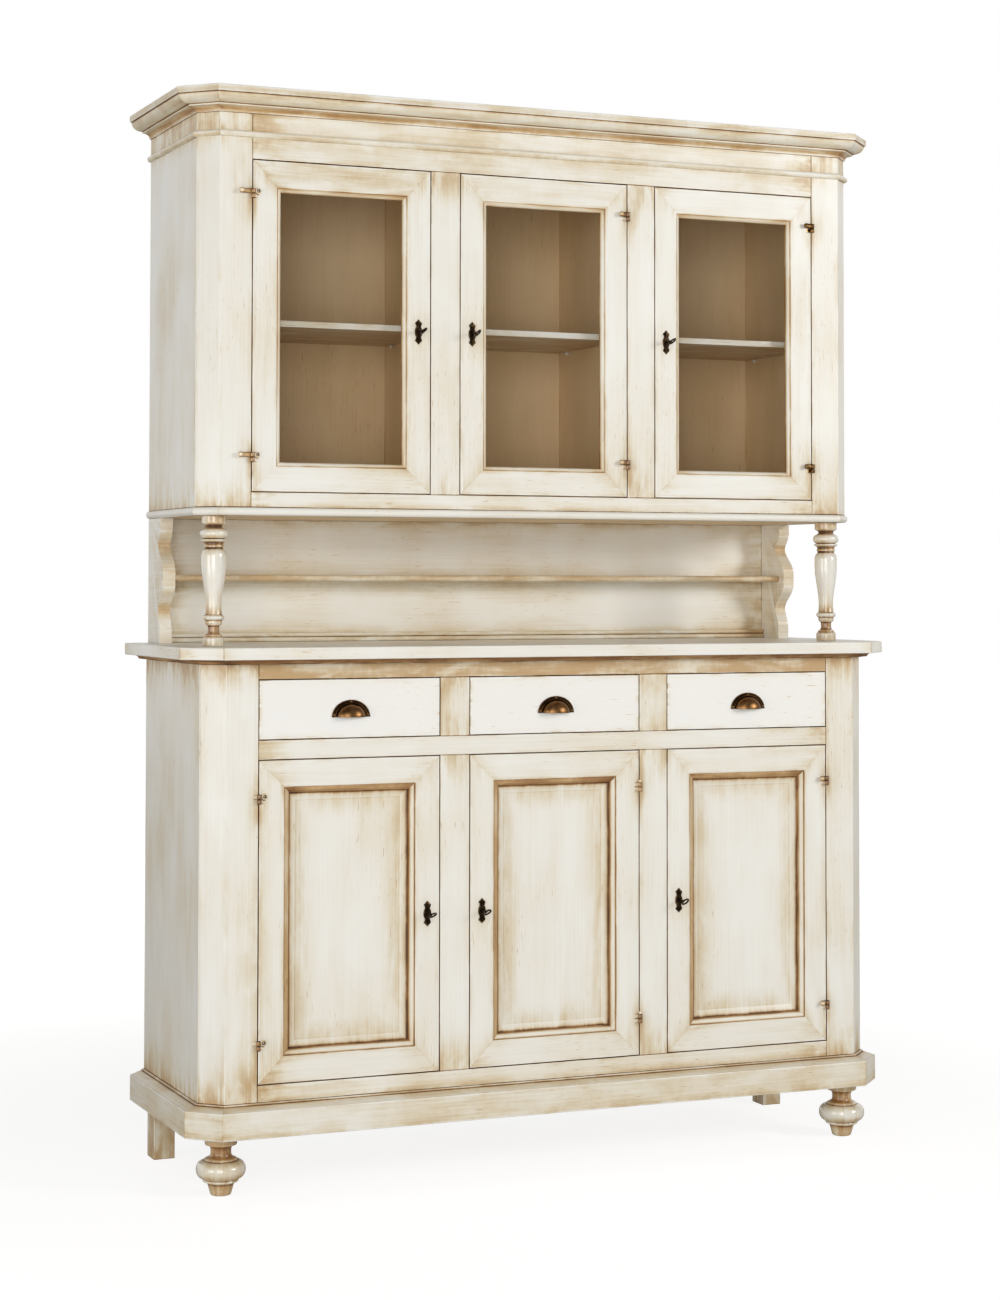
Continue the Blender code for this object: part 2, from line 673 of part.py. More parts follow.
def make_divider(name, side, front, z_floor, spans, z_top, hinges):
    """A partition with the mullion in front of it, one length for each opening beside it."""
    half = PARTITION_THICKNESS / 2
    partition = box((side * PARTITION_OFFSET - half, front + FRAME_THICKNESS + SEAT_GAP,
                     z_floor + SEAT_GAP),
                    (side * PARTITION_OFFSET + half, BACK_FACE - SEAT_GAP, z_top))
    divider = add_object(name, partition, CREAM)
    for z0, z1 in spans:
        unite(divider, box((min(side * MIDDLE_HALF, side * END_BAY_IN), front, z0 + SEAT_GAP),
                           (max(side * MIDDLE_HALF, side * END_BAY_IN), front + MULLION_DEPTH,
                            z1 - SEAT_GAP)))
    if side > 0:
        add_fixed_hinges(divider, hinge_axis(1), front, hinges, side, False)
    return divider


def make_drawer_rail():
    """Rail between doors and drawers, with a dust board and two drawer guides in each bay."""
    neck = OPENING_HALF - SEAT_GAP
    rail = add_object("drawer_rail", box((-neck, 0, Z_DRAWER_RAIL),
                                         (neck, FRAME_THICKNESS, Z_DRAWER)), CREAM)
    partition = PARTITION_OFFSET - PARTITION_THICKNESS / 2 - SEAT_GAP
    beyond = PARTITION_OFFSET + PARTITION_THICKNESS / 2 + SEAT_GAP
    wall = BASE_HALF - BASE_SIDE_THICKNESS - SEAT_GAP
    front = BASE_CANT + SEAT_GAP
    body_half = BAY_WIDTH / 2 - REVEAL - DRAWER_SIDE_INSET
    tie_half = BAY_WIDTH / 2 - 0.02
    dust_foot = Z_DUST_TOP - DUST_BOARD_THICKNESS
    limits = ((-wall, -beyond), (-partition, partition), (beyond, wall))
    for centre, (x0, x1) in zip(BAY_CENTRES, limits):
        unite(rail, box((centre - tie_half, FRAME_THICKNESS - 0.004, dust_foot),
                        (centre + tie_half, front + 0.02, Z_DRAWER - 0.0005)))
        unite(rail, box((x0, front, dust_foot), (x1, BACK_FACE - SEAT_GAP, Z_DUST_TOP)))
        for side in (-1, 1):
            near = centre + side * (body_half + 0.0008)
            far = min(max(near + side * GUIDE_WIDTH, x0), x1)
            unite(rail, box((min(near, far), front + 0.005, Z_DUST_TOP - 0.002),
                            (max(near, far), BACK_FACE - 0.005, Z_DUST_TOP + GUIDE_HEIGHT)))
    return rail


make_base_floor()
for word, sign in SIDES:
    make_base_side("base_side_" + word, sign)
    make_base_corner("base_corner_" + word, sign)
    make_divider("base_divider_" + word, sign, 0.0, Z_PLINTH_TOP + FLOOR_THICKNESS,
                 ((Z_LOWER_DOOR, Z_DRAWER_RAIL), (Z_DRAWER, Z_TOP_RAIL)), Z_BASE_TOP,
                 LOWER_HINGES)
make_drawer_rail()
add_object("base_top_rail", box((-OPENING_HALF + SEAT_GAP, 0, Z_TOP_RAIL),
                                (OPENING_HALF - SEAT_GAP, FRAME_THICKNESS, Z_BASE_TOP)), CREAM)
BACK_HALF = BASE_HALF - BASE_SIDE_THICKNESS - SEAT_GAP
add_object("base_back", box((-BACK_HALF, BACK_FACE, Z_PLINTH_TOP + SEAT_GAP),
                            (BACK_HALF, BASE_DEPTH, Z_BASE_TOP)), CREAM)
COUNTER_PROFILE = [(COUNTER_MOULDING_IN, Z_BASE_TOP + SEAT_GAP),
                   (COUNTER_MOULDING_IN, Z_BASE_TOP + 0.0012),
                   (COUNTER_MOULDING_OUT, Z_BASE_TOP + COUNTER_MOULDING),
                   (COUNTER_OVERHANG - COUNTER_ARRIS, Z_BASE_TOP + COUNTER_MOULDING),
                   (COUNTER_OVERHANG, Z_BASE_TOP + COUNTER_MOULDING + COUNTER_ARRIS),
                   (COUNTER_OVERHANG, Z_COUNTER_TOP - COUNTER_ARRIS),
                   (COUNTER_OVERHANG - COUNTER_ARRIS, Z_COUNTER_TOP)]
add_object("counter_top", stacked(base_plan, COUNTER_PROFILE), CREAM)


# Niche

def sweep_depth(start, end, z0, z1, steps):
    """A smooth S-curve of (depth, z) points between two depths."""
    points = []
    for i in range(steps + 1):
        share = i / steps
        eased = share * share * (3 - 2 * share)
        points.append((start + (end - start) * eased, z0 + (z1 - z0) * share))
    return points


def make_cheek(name, side):
    """End board of the niche with its sawn scroll front edge."""
    low = Z_COUNTER_TOP + SEAT_GAP
    high = Z_HUTCH - SEAT_GAP
    middle = (low + high) / 2 + CHEEK_MIDDLE_RAISE
    top = high - CHEEK_TOP_BLOCK
    foot = low + CHEEK_FOOT_BLOCK
    mid_top = middle + CHEEK_MIDDLE_BLOCK / 2
    mid_foot = middle - CHEEK_MIDDLE_BLOCK / 2
    upper_waist = top - CHEEK_UPPER_WAIST
    lower_waist = foot + CHEEK_LOWER_WAIST
    edge = [(CHEEK_FOOT_DEPTH, low), (CHEEK_FOOT_DEPTH, foot)]
    edge += sweep_depth(CHEEK_FOOT_DEPTH - CHEEK_NOTCH, CHEEK_WAIST_DEPTH, foot, lower_waist, 4)
    edge += sweep_depth(CHEEK_WAIST_DEPTH, CHEEK_MIDDLE_DEPTH - CHEEK_NOTCH,
                        lower_waist, mid_foot, 6)[1:]
    edge += [(CHEEK_MIDDLE_DEPTH, mid_foot), (CHEEK_MIDDLE_DEPTH, mid_top)]
    edge += sweep_depth(CHEEK_MIDDLE_DEPTH - CHEEK_NOTCH, CHEEK_WAIST_DEPTH,
                        mid_top, upper_waist, 6)
    edge += sweep_depth(CHEEK_WAIST_DEPTH, CHEEK_TOP_DEPTH - CHEEK_NOTCH, upper_waist, top, 4)[1:]
    edge += [(CHEEK_TOP_DEPTH, top), (CHEEK_TOP_DEPTH, high)]
    outline = [(BASE_DEPTH, low)] + [(BASE_DEPTH - depth, z) for depth, z in edge]
    outline += [(BASE_DEPTH, high)]
    inner = side * (HUTCH_HALF - HUTCH_SIDE_THICKNESS)
    return add_object(name, prism_x(outline, inner, side * HUTCH_HALF), CREAM)


def make_post(name, side):
    """Turned post under a front corner of the hutch."""
    low = Z_COUNTER_TOP + SEAT_GAP
    high = Z_HUTCH - SEAT_GAP
    ball = high - POST_BALL_DROP
    throat = low + POST_THROAT_HEIGHT
    bead = low + POST_BEAD_HEIGHT
    taper_foot = low + POST_TAPER_HEIGHT
    shoulder = high - POST_SHOULDER_DROP
    fillet = high - POST_FILLET_DROP
    collar = high - POST_COLLAR_DROP
    neck = high - POST_NECK_DROP
    block = high - POST_BLOCK_HEIGHT
    profile = [(0, low), (POST_BASE_RADIUS - POST_EDGE, low), (POST_BASE_RADIUS, low + POST_EDGE),
               (POST_BASE_RADIUS, low + POST_BASE_HEIGHT),
               (POST_BASE_RADIUS - POST_COVE, low + POST_BASE_HEIGHT + POST_COVE),
               (POST_BASE_RADIUS - POST_COVE - POST_EDGE / 2, throat - POST_THROAT_LENGTH),
               (POST_THROAT_RADIUS, throat - POST_THROAT_LENGTH / 2),
               (POST_THROAT_RADIUS, throat + POST_THROAT_LENGTH / 2),
               (POST_TAPER_RADIUS - POST_EDGE, bead - 3 * POST_BEAD_HALF),
               (POST_TAPER_RADIUS + POST_EDGE, bead - POST_BEAD_HALF - 2 * POST_EDGE)]
    profile += arc((POST_TAPER_RADIUS, bead),
                   (POST_BEAD_RADIUS - POST_TAPER_RADIUS, POST_BEAD_HALF), -80, 80, 4)
    profile += [(POST_TAPER_RADIUS + POST_EDGE, taper_foot - 4 * POST_EDGE),
                (POST_TAPER_RADIUS, taper_foot),
                (POST_TAPER_RADIUS, taper_foot + POST_TAPER_STRAIGHT)]
    profile += [(radius, z) for radius, z in sweep_depth(
        POST_TAPER_RADIUS + POST_EDGE, POST_SHOULDER_RADIUS - POST_EDGE / 2,
        taper_foot + POST_TAPER_STRAIGHT + POST_COVE * 3, shoulder - POST_SHOULDER_HALF, 4)]
    profile += arc((POST_SHOULDER_RADIUS - POST_SHOULDER_ROUND, shoulder),
                   (POST_SHOULDER_ROUND, POST_SHOULDER_HALF), 0, 75, 4)
    profile += [(POST_FILLET_RADIUS - 2 * POST_EDGE, fillet - POST_FILLET_HALF - POST_EDGE),
                (POST_FILLET_RADIUS, fillet - POST_FILLET_HALF),
                (POST_FILLET_RADIUS, fillet + POST_FILLET_HALF),
                (POST_FILLET_RADIUS - POST_EDGE, fillet + POST_FILLET_HALF + 2 * POST_EDGE),
                (POST_FILLET_RADIUS + POST_EDGE, collar - POST_COLLAR_HALF - POST_EDGE),
                (POST_COLLAR_RADIUS, collar - POST_COLLAR_HALF),
                (POST_COLLAR_RADIUS, collar + POST_COLLAR_HALF)]
    profile += arc((POST_BALL_RADIUS - POST_BALL_ROUND, ball),
                   (POST_BALL_ROUND, POST_BALL_HALF), -75, 75, 5)
    profile += [(POST_NECK_RADIUS, neck - POST_NECK_HALF), (POST_NECK_RADIUS, neck + POST_NECK_HALF),
                (POST_BLOCK_RADIUS - 2 * POST_EDGE, block - 2 * POST_EDGE),
                (POST_BLOCK_RADIUS, block), (POST_BLOCK_RADIUS, high - POST_EDGE),
                (POST_BLOCK_RADIUS - POST_EDGE, high), (0, high)]
    post = add_object(name, turning(profile, 16), CREAM)
    post.location = (side * (HUTCH_HALF - POST_INSET_X), HUTCH_SETBACK + POST_INSET_Y, 0)
    return smooth(post)


def make_rail_shelf():
    """Narrow plate rail with a rounded nose, between the cheeks."""
    low = Z_COUNTER_TOP + RAIL_SHELF_HEIGHT
    radius = RAIL_SHELF_THICKNESS / 2
    front = BACK_FACE - RAIL_SHELF_DEPTH
    outline = [(BACK_FACE - SEAT_GAP, low + RAIL_SHELF_THICKNESS), (BACK_FACE - SEAT_GAP, low)]
    outline += arc((front + radius, low + radius), (-radius, radius), -90, 90, 6)
    half = HUTCH_HALF - HUTCH_SIDE_THICKNESS - SEAT_GAP
    return add_object("plate_rail", prism_x(outline, -half, half), CREAM)


def make_hutch_back():
    """Back of niche and hutch in one, with the double-bead skirting of the niche."""
    half = HUTCH_HALF - HUTCH_SIDE_THICKNESS - SEAT_GAP
    low = Z_COUNTER_TOP + SEAT_GAP
    back = add_object("hutch_back", box((-half, BACK_FACE, low),
                                        (half, BASE_DEPTH, Z_CROWN - SEAT_GAP)), CREAM)
    bead = SKIRT_HEIGHT / 4
    nose = SKIRT_DEPTH - bead
    outline = [(BACK_FACE + 0.002, low), (BACK_FACE - nose, low)]
    outline += arc((BACK_FACE - nose, low + bead), (-bead, bead), -85, 85, 5)
    outline += arc((BACK_FACE - nose, low + 3 * bead), (-bead * 0.8, bead * 0.8), -85, 85, 5)
    outline += [(BACK_FACE + 0.002, low + SKIRT_HEIGHT)]
    return unite(back, prism_x(outline, -half, half))


for word, sign in SIDES:
    make_cheek("niche_cheek_" + word, sign)
    make_post("niche_post_" + word, sign)
make_rail_shelf()
make_hutch_back()


# Hutch carcass

def make_hutch_floor():
    """Floor of the hutch with its half-round edge and the bottom rail on top."""
    low = Z_HUTCH
    high = Z_HUTCH_FLOOR
    half = HUTCH_BOTTOM_THICKNESS / 2
    profile = [(out - half, z) for out, z in arc((HUTCH_EDGE_OUT, low + half),
                                                 (half, half - 0.0005), -85, 85, 6)]
    floor = add_object("hutch_floor", stacked(hutch_plan, profile), CREAM)
    inner = HUTCH_HALF - HUTCH_SIDE_THICKNESS
    cut(floor, box((-inner, BACK_FACE - SEAT_GAP, low - 0.01),
                   (inner, BASE_DEPTH + 0.01, high + 0.01)))
    neck = OPENING_HALF - SEAT_GAP
    return unite(floor, box((-neck, HUTCH_SETBACK, high - 0.006),
                            (neck, HUTCH_SETBACK + FRAME_THICKNESS, Z_GLAZED)))


def make_hutch_side(name, side):
    """End board of the hutch."""
    outer = HUTCH_HALF
    inner = HUTCH_HALF - HUTCH_SIDE_THICKNESS
    front = HUTCH_SETBACK + HUTCH_CANT + SEAT_GAP
    outline = mirrored([(inner, front), (outer, front), (outer, BASE_DEPTH),
                        (inner, BASE_DEPTH)], side)
    return add_object(name, prism_z(outline, Z_HUTCH_FLOOR + SEAT_GAP, Z_CROWN - SEAT_GAP), CREAM)


def shelf_pins(x0, x1):
    """Rods across a partition or lining that carry a shelf."""
    length = abs(x1 - x0)
    rods = bmesh.new()
    for y in (HUTCH_SETBACK + SHELF_FRONT + SHELF_PIN_INSET, BACK_FACE - SHELF_PIN_INSET):
        rod = move_mesh(cylinder(SHELF_PIN_RADIUS, length, 8),
                        Matrix.Translation((min(x0, x1), y,
                                            Z_SHELF - SEAT_GAP - SHELF_PIN_RADIUS))
                        @ Matrix.Rotation(math.pi / 2, 4, "Y")
                        @ Matrix.Rotation(math.pi / 8, 4, "Z"))
        mesh = bpy.data.meshes.new("rod")
        rod.to_mesh(mesh)
        rod.free()
        rods.from_mesh(mesh)
        bpy.data.meshes.remove(mesh)
    return rods


def make_hutch_corner(name, side):
    """Canted corner post of the hutch with the lining of its end bay behind it."""
    front = HUTCH_SETBACK
    inner = HUTCH_HALF - HUTCH_SIDE_THICKNESS
    turn = HUTCH_CANT - FRAME_THICKNESS
    behind = front + FRAME_THICKNESS
    lining = LINING_OFFSET + LINING_THICKNESS
    outline = mirrored([(OPENING_HALF, front), (FLAT_HALF, front),
                        (HUTCH_HALF, front + HUTCH_CANT), (inner, front + HUTCH_CANT),
                        (inner - turn, behind), (lining, behind), (lining, BACK_FACE - SEAT_GAP),
                        (LINING_OFFSET, BACK_FACE - SEAT_GAP), (LINING_OFFSET, behind),
                        (OPENING_HALF, behind)], side)
    post = add_object(name, prism_z(outline, Z_HUTCH_FLOOR + SEAT_GAP, Z_CROWN - SEAT_GAP), CREAM)
    unite(post, shelf_pins(side * (LINING_OFFSET + SHELF_PIN_SEAT),
                           side * (LINING_OFFSET - SHELF_PIN_LENGTH)))
    bay = 0 if side < 0 else 2
    return add_fixed_hinges(post, hinge_axis(bay), front, UPPER_HINGES, side, side < 0)


def make_hutch_divider(name, side):
    """Mullion and partition of the hutch with the pins of the shelves on both sides."""
    divider = make_divider(name, side, HUTCH_SETBACK, Z_HUTCH_FLOOR, ((Z_GLAZED, Z_FRIEZE),),
                           Z_CROWN - SEAT_GAP, UPPER_HINGES)
    reach = PARTITION_THICKNESS / 2 + SHELF_PIN_LENGTH
    return unite(divider, shelf_pins(side * PARTITION_OFFSET - reach,
                                     side * PARTITION_OFFSET + reach))


def make_frieze():
    """Frieze board with the astragal bead that runs on round the corners and ends."""
    neck = OPENING_HALF - SEAT_GAP
    frieze = add_object("hutch_frieze", box((-neck, HUTCH_SETBACK, Z_FRIEZE),
                                            (neck, HUTCH_SETBACK + FRAME_THICKNESS,
                                             Z_CROWN - SEAT_GAP)), CREAM)
    centre = Z_FRIEZE + ASTRAGAL_HEIGHT
    rows = [(SEAT_GAP, centre - ASTRAGAL_RADIUS)]
    rows += arc((0.0012, centre), (ASTRAGAL_OUT - 0.0012, ASTRAGAL_RADIUS), -90, 90, 6)
    rows += [(SEAT_GAP, centre + ASTRAGAL_RADIUS)]
    mesh, plans = moulded(hutch_plan, rows)
    for a, b, c, d in zip(plans[-1], plans[-1][1:], plans[0][1:], plans[0]):
        mesh.faces.new((a, b, c, d))
    mesh.faces.new([plan[0] for plan in plans])
    mesh.faces.new([plan[-1] for plan in plans])
    unite(frieze, mesh)
    return unite(frieze, box((-neck + 0.002, HUTCH_SETBACK - 0.002, centre - 0.004),
                             (neck - 0.002, HUTCH_SETBACK + 0.002, centre + 0.004)))


def make_cornice():
    """Crown moulding round a shallow tray whose bottom is the top board of the hutch."""
    foot = Z_CROWN
    cavetto_foot = foot + CROWN_HEIGHT - CROWN_FILLET - CROWN_OVOLO_HEIGHT - CROWN_STEP \
        - CROWN_CAVETTO_HEIGHT
    cavetto_top = cavetto_foot + CROWN_CAVETTO_HEIGHT
    ovolo_foot = cavetto_top + CROWN_STEP
    ovolo_top = ovolo_foot + CROWN_OVOLO_HEIGHT
    hollow = CROWN_CAVETTO_OUT - CROWN_CAVETTO_IN
    bulge = CROWN_OVOLO_OUT - CROWN_OVOLO_IN
    profile = [(CROWN_CAVETTO_IN, foot)]
    profile += arc((CROWN_CAVETTO_OUT, cavetto_foot), (hollow, CROWN_CAVETTO_HEIGHT), 180, 90, 4)
    profile += [(CROWN_CAVETTO_OUT + 0.0015, cavetto_top), (CROWN_CAVETTO_OUT + 0.0015, ovolo_foot)]
    profile += arc((CROWN_OVOLO_IN, ovolo_top), (bulge, CROWN_OVOLO_HEIGHT), -90, 0, 6)
    profile += [(CROWN_OVERHANG, ovolo_top), (CROWN_OVERHANG, Z_TOTAL)]
    cornice = add_object("cornice", stacked(hutch_plan, profile), CREAM)
    tray = hutch_plan(-CROWN_WALL)
    tray = [(x, min(y, BASE_DEPTH - CROWN_WALL)) for x, y in tray]
    return cut(cornice, prism_z(tray, foot + TOP_BOARD_THICKNESS, Z_TOTAL + 0.01))


def make_shelf(name, bay):
    """Loose shelf on four pins."""
    partition = PARTITION_OFFSET - PARTITION_THICKNESS / 2 - SHELF_GAP
    beyond = PARTITION_OFFSET + PARTITION_THICKNESS / 2 + SHELF_GAP
    wall = LINING_OFFSET - SHELF_GAP
    x0, x1 = ((-wall, -beyond), (-partition, partition), (beyond, wall))[bay]
    return add_object(name, box((x0, HUTCH_SETBACK + SHELF_FRONT, Z_SHELF),
                                (x1, BACK_FACE - SHELF_GAP, Z_SHELF + SHELF_THICKNESS)), CREAM)


make_hutch_floor()
for word, sign in SIDES:
    make_hutch_side("hutch_side_" + word, sign)
    make_hutch_corner("hutch_corner_" + word, sign)
    make_hutch_divider("hutch_divider_" + word, sign)
make_frieze()
make_cornice()
for index, word in enumerate(BAY_NAMES):
    make_shelf("hutch_shelf_" + word, index)


# Doors

def rectangle(limits, y):
    """Corners of an upright rectangle (x0, x1, z0, z1) in the plane y."""
    x0, x1, z0, z1 = limits
    return [(x0, y, z0), (x1, y, z0), (x1, y, z1), (x0, y, z1)]


def shrunk(limits, by):
    """A rectangle with each edge moved inwards."""
    x0, x1, z0, z1 = limits
    return (x0 + by, x1 - by, z0 + by, z1 - by)


def door_outline(bay, z, height):
    """Outer rectangle of the door in one bay."""
    centre = BAY_CENTRES[bay]
    half = BAY_WIDTH / 2 - REVEAL
    return (centre - half, centre + half, z + REVEAL, z + height - REVEAL)


def keyhole_outline(x, z):
    """Outline of the keyhole plate: pointed ends with nubs, narrow waists, a full belly."""
    half = PLATE_HEIGHT / 2
    nub = PLATE_NUB / 2
    waist = PLATE_WAIST / 2
    right = [(0, half), (nub - 0.0005, half - 0.007), (nub, half - 0.0085),
             (waist + 0.001, half - 0.011), (waist, half - 0.0135)]
    belly = arc((waist - 0.001, 0), (PLATE_BELLY / 2 - waist + 0.001, 0.0105), 75, -75, 6)
    lower = [(dx, -dz) for dx, dz in reversed(right)]
    edge = right + belly + lower
    left = [(-dx, dz) for dx, dz in reversed(edge[1:-1])]
    return [(x + dx, z + dz) for dx, dz in edge + left]


def key_place(bay, z, height):
    """x and z of the key of a door, in the middle of the stile away from the hinges."""
    x = BAY_CENTRES[bay] - HINGE_SIDE[bay] * (BAY_WIDTH / 2 - REVEAL - KEY_INSET)
    return x, z + height / 2


def add_keyhole(door, x, z, face_y):
    """Raise the keyhole plate on the face of a door and bore the hole for the shank."""
    unite(door, prism_y(keyhole_outline(x, z), face_y - PLATE_THICKNESS, face_y + 0.0006))
    bore = cylinder(KEY_HOLE_RADIUS, KEY_HOLE_DEPTH + 0.01, 12)
    return cut(door, move_mesh(bore, Matrix.Translation((x, face_y + KEY_HOLE_DEPTH, z))
                               @ Matrix.Rotation(math.pi / 2, 4, "X")))


def finish_door(door, bay, face_y, z, height, hinges):
    """Hang a door: keyhole, knuckles, and the origin on the hinge axis."""
    x_key, z_key = key_place(bay, z, height)
    add_keyhole(door, x_key, z_key, face_y)
    axis_x = hinge_axis(bay)
    add_door_hinges(door, axis_x, face_y, hinges, -HINGE_SIDE[bay], HINGE_SIDE[bay] > 0)
    return set_origin(door, (axis_x, face_y - HINGE_AXIS_OUT, z))


def make_glazed_door(bay):
    """Glazed door frame with a moulded bead, and its pane."""
    face = HUTCH_SETBACK
    outer = door_outline(bay, Z_GLAZED, GLAZED_OPENING)
    opening = (outer[0] + GLAZED_STILE - REVEAL, outer[1] - GLAZED_STILE + REVEAL,
               outer[2] + GLAZED_BOTTOM_RAIL - REVEAL, outer[3] - GLAZED_TOP_RAIL + REVEAL)
    sight = shrunk(opening, GLAZED_BEAD_WIDTH)
    rebate = shrunk(sight, -GLASS_REBATE)
    rings = [rectangle(shrunk(outer, FACE_ARRIS), face),
             rectangle(outer, face + FACE_ARRIS),
             rectangle(outer, face + GLAZED_THICKNESS),
             rectangle(rebate, face + GLAZED_THICKNESS),
             rectangle(rebate, face + GLASS_SEAT),
             rectangle(sight, face + GLASS_SEAT)]
    for inward, deep in arc((0.0, 0.0), (GLAZED_BEAD_WIDTH, GLAZED_BEAD_DEPTH), 0, 75, 3):
        rings.append(rectangle(shrunk(opening, inward),
                               face + 0.0008 + GLAZED_BEAD_DEPTH - deep))
    rings.append(rectangle(shrunk(opening, 0.0012), face + 0.0012))
    rings.append(rectangle(opening, face + 0.0004))
    rings.append(rectangle(shrunk(opening, -0.0006), face))
    door = add_object("glazed_door_" + BAY_NAMES[bay], loft(rings, closed=True), CREAM)
    finish_door(door, bay, face, Z_GLAZED, GLAZED_OPENING, UPPER_HINGES)
    pane = shrunk(rebate, GLASS_GAP)
    seat = face + GLASS_SEAT + SEAT_GAP
    glass = add_object("door_glass_" + BAY_NAMES[bay],
                       box((pane[0], seat, pane[2]), (pane[1], seat + GLASS_THICKNESS, pane[3])),
                       GLASS)
    return set_origin(glass, tuple(door.location))


def make_panelled_door(bay):
    """Frame with stepped sticking round a panel whose border slopes back to a flat field."""
    face = 0.0
    outer = door_outline(bay, Z_LOWER_DOOR, LOWER_DOOR_OPENING)
    opening = (outer[0] + PANELLED_STILE - REVEAL, outer[1] - PANELLED_STILE + REVEAL,
               outer[2] + PANELLED_RAIL - REVEAL, outer[3] - PANELLED_RAIL + REVEAL)
    sight = shrunk(opening, PANEL_STICKING_WIDTH)
    rebate = shrunk(sight, -PANEL_REBATE)
    seat = PANEL_STICKING_DEPTH + 0.002
    rings = [rectangle(shrunk(outer, FACE_ARRIS), face),
             rectangle(outer, face + FACE_ARRIS),
             rectangle(outer, face + PANELLED_THICKNESS),
             rectangle(rebate, face + PANELLED_THICKNESS),
             rectangle(rebate, face + seat),
             rectangle(sight, face + seat),
             rectangle(sight, face + PANEL_STICKING_DEPTH)]
    span = PANEL_STICKING_WIDTH - 0.0015
    fall = PANEL_STICKING_DEPTH - PANEL_STEP
    for inward, deep in arc((0.0, 0.0), (span, fall), 15, 90, 3):
        rings.append(rectangle(shrunk(opening, inward), face + PANEL_STICKING_DEPTH - deep))
    rings.append(rectangle(opening, face + PANEL_STEP))
    rings.append(rectangle(opening, face + 0.0006))
    rings.append(rectangle(shrunk(opening, -0.0006), face))
    door = add_object("panelled_door_" + BAY_NAMES[bay], loft(rings, closed=True), CREAM)
    finish_door(door, bay, face, Z_LOWER_DOOR, LOWER_DOOR_OPENING, LOWER_HINGES)
    board = shrunk(rebate, GLASS_GAP)
    lip = seat + SEAT_GAP
    field = shrunk(sight, PANEL_BORDER)
    panel_rings = [rectangle(field, face + PANEL_SINK),
                   rectangle(sight, face + lip + 0.0006),
                   rectangle(shrunk(sight, -0.0006), face + lip),
                   rectangle(board, face + lip),
                   rectangle(board, face + PANEL_BACK)]
    panel = add_object("door_panel_" + BAY_NAMES[bay], loft(panel_rings), CREAM)
    return set_origin(panel, tuple(door.location))


for index in range(len(BAY_NAMES)):
    make_glazed_door(index)
    make_panelled_door(index)


# Drawers and cup pulls

def make_drawer(bay):
    """Inset drawer front with an open box behind it."""
    centre = BAY_CENTRES[bay]
    front = door_outline(bay, Z_DRAWER, DRAWER_OPENING)
    rings = [rectangle(shrunk(front, FACE_ARRIS), 0.0),
             rectangle(front, FACE_ARRIS),
             rectangle(front, DRAWER_FRONT)]
    drawer = add_object("drawer_" + BAY_NAMES[bay], loft(rings), CREAM)
    half = BAY_WIDTH / 2 - REVEAL - DRAWER_SIDE_INSET
    floor = front[2]
    rim = floor + DRAWER_SIDE_HEIGHT
    unite(drawer, box((centre - half, DRAWER_FRONT - 0.005, floor),
                      (centre + half, DRAWER_LENGTH, rim)))
    cut(drawer, box((centre - half + DRAWER_WALL, DRAWER_FRONT, floor + DRAWER_BOTTOM),
                    (centre + half - DRAWER_WALL, DRAWER_LENGTH - DRAWER_WALL, rim + 0.01)))
    return set_origin(drawer, (centre, 0.0, (front[2] + front[3]) / 2))


def make_cup_pull(bay):
    """Half-moon cup pull: flange, raised rim line, and a hollow dome open underneath."""
    radius = PULL_WIDTH / 2
    dome = radius - PULL_RIM
    steps = 12
    profile = [(radius, 0), (radius, -PULL_FLANGE), (dome + 0.0025, -PULL_FLANGE),
               (dome + 0.001, -PULL_FLANGE - 0.0012), (dome - 0.0005, -PULL_FLANGE - 0.0006)]
    profile += arc((0, 0), (dome - 0.001, -PULL_REACH), 18, 90, 5)
    inner = arc((0, 0), (dome - PULL_WALL - 0.001, -PULL_REACH + PULL_WALL), 90, 0, 5)
    profile += inner
    mesh = bmesh.new()
    rows = []
    for step in range(steps + 1):
        angle = math.pi * step / steps
        rows.append([(r * math.cos(angle), y, r * math.sin(angle) * PULL_HEIGHT / radius)
                     for r, y in profile])
    verts = [[mesh.verts.new(point) for point in row] for row in rows]
    count = len(profile)
    for low, high in zip(verts, verts[1:]):
        for i in range(count):
            j = (i + 1) % count
            mesh.faces.new((low[i], low[j], high[j], high[i]))
    mesh.faces.new(list(reversed(verts[0])))
    mesh.faces.new(verts[-1])
    bmesh.ops.remove_doubles(mesh, verts=mesh.verts, dist=0.00001)
    bmesh.ops.dissolve_degenerate(mesh, dist=0.00001, edges=mesh.edges)
    pull = add_object("cup_pull_" + BAY_NAMES[bay], mesh, BRONZE)
    pull.location = (BAY_CENTRES[bay], -SEAT_GAP,
                     Z_DRAWER + DRAWER_OPENING / 2 - PULL_HEIGHT / 2)
    return smooth(pull, 50)


for index in range(len(BAY_NAMES)):
    make_drawer(index)
    make_cup_pull(index)


# Keys

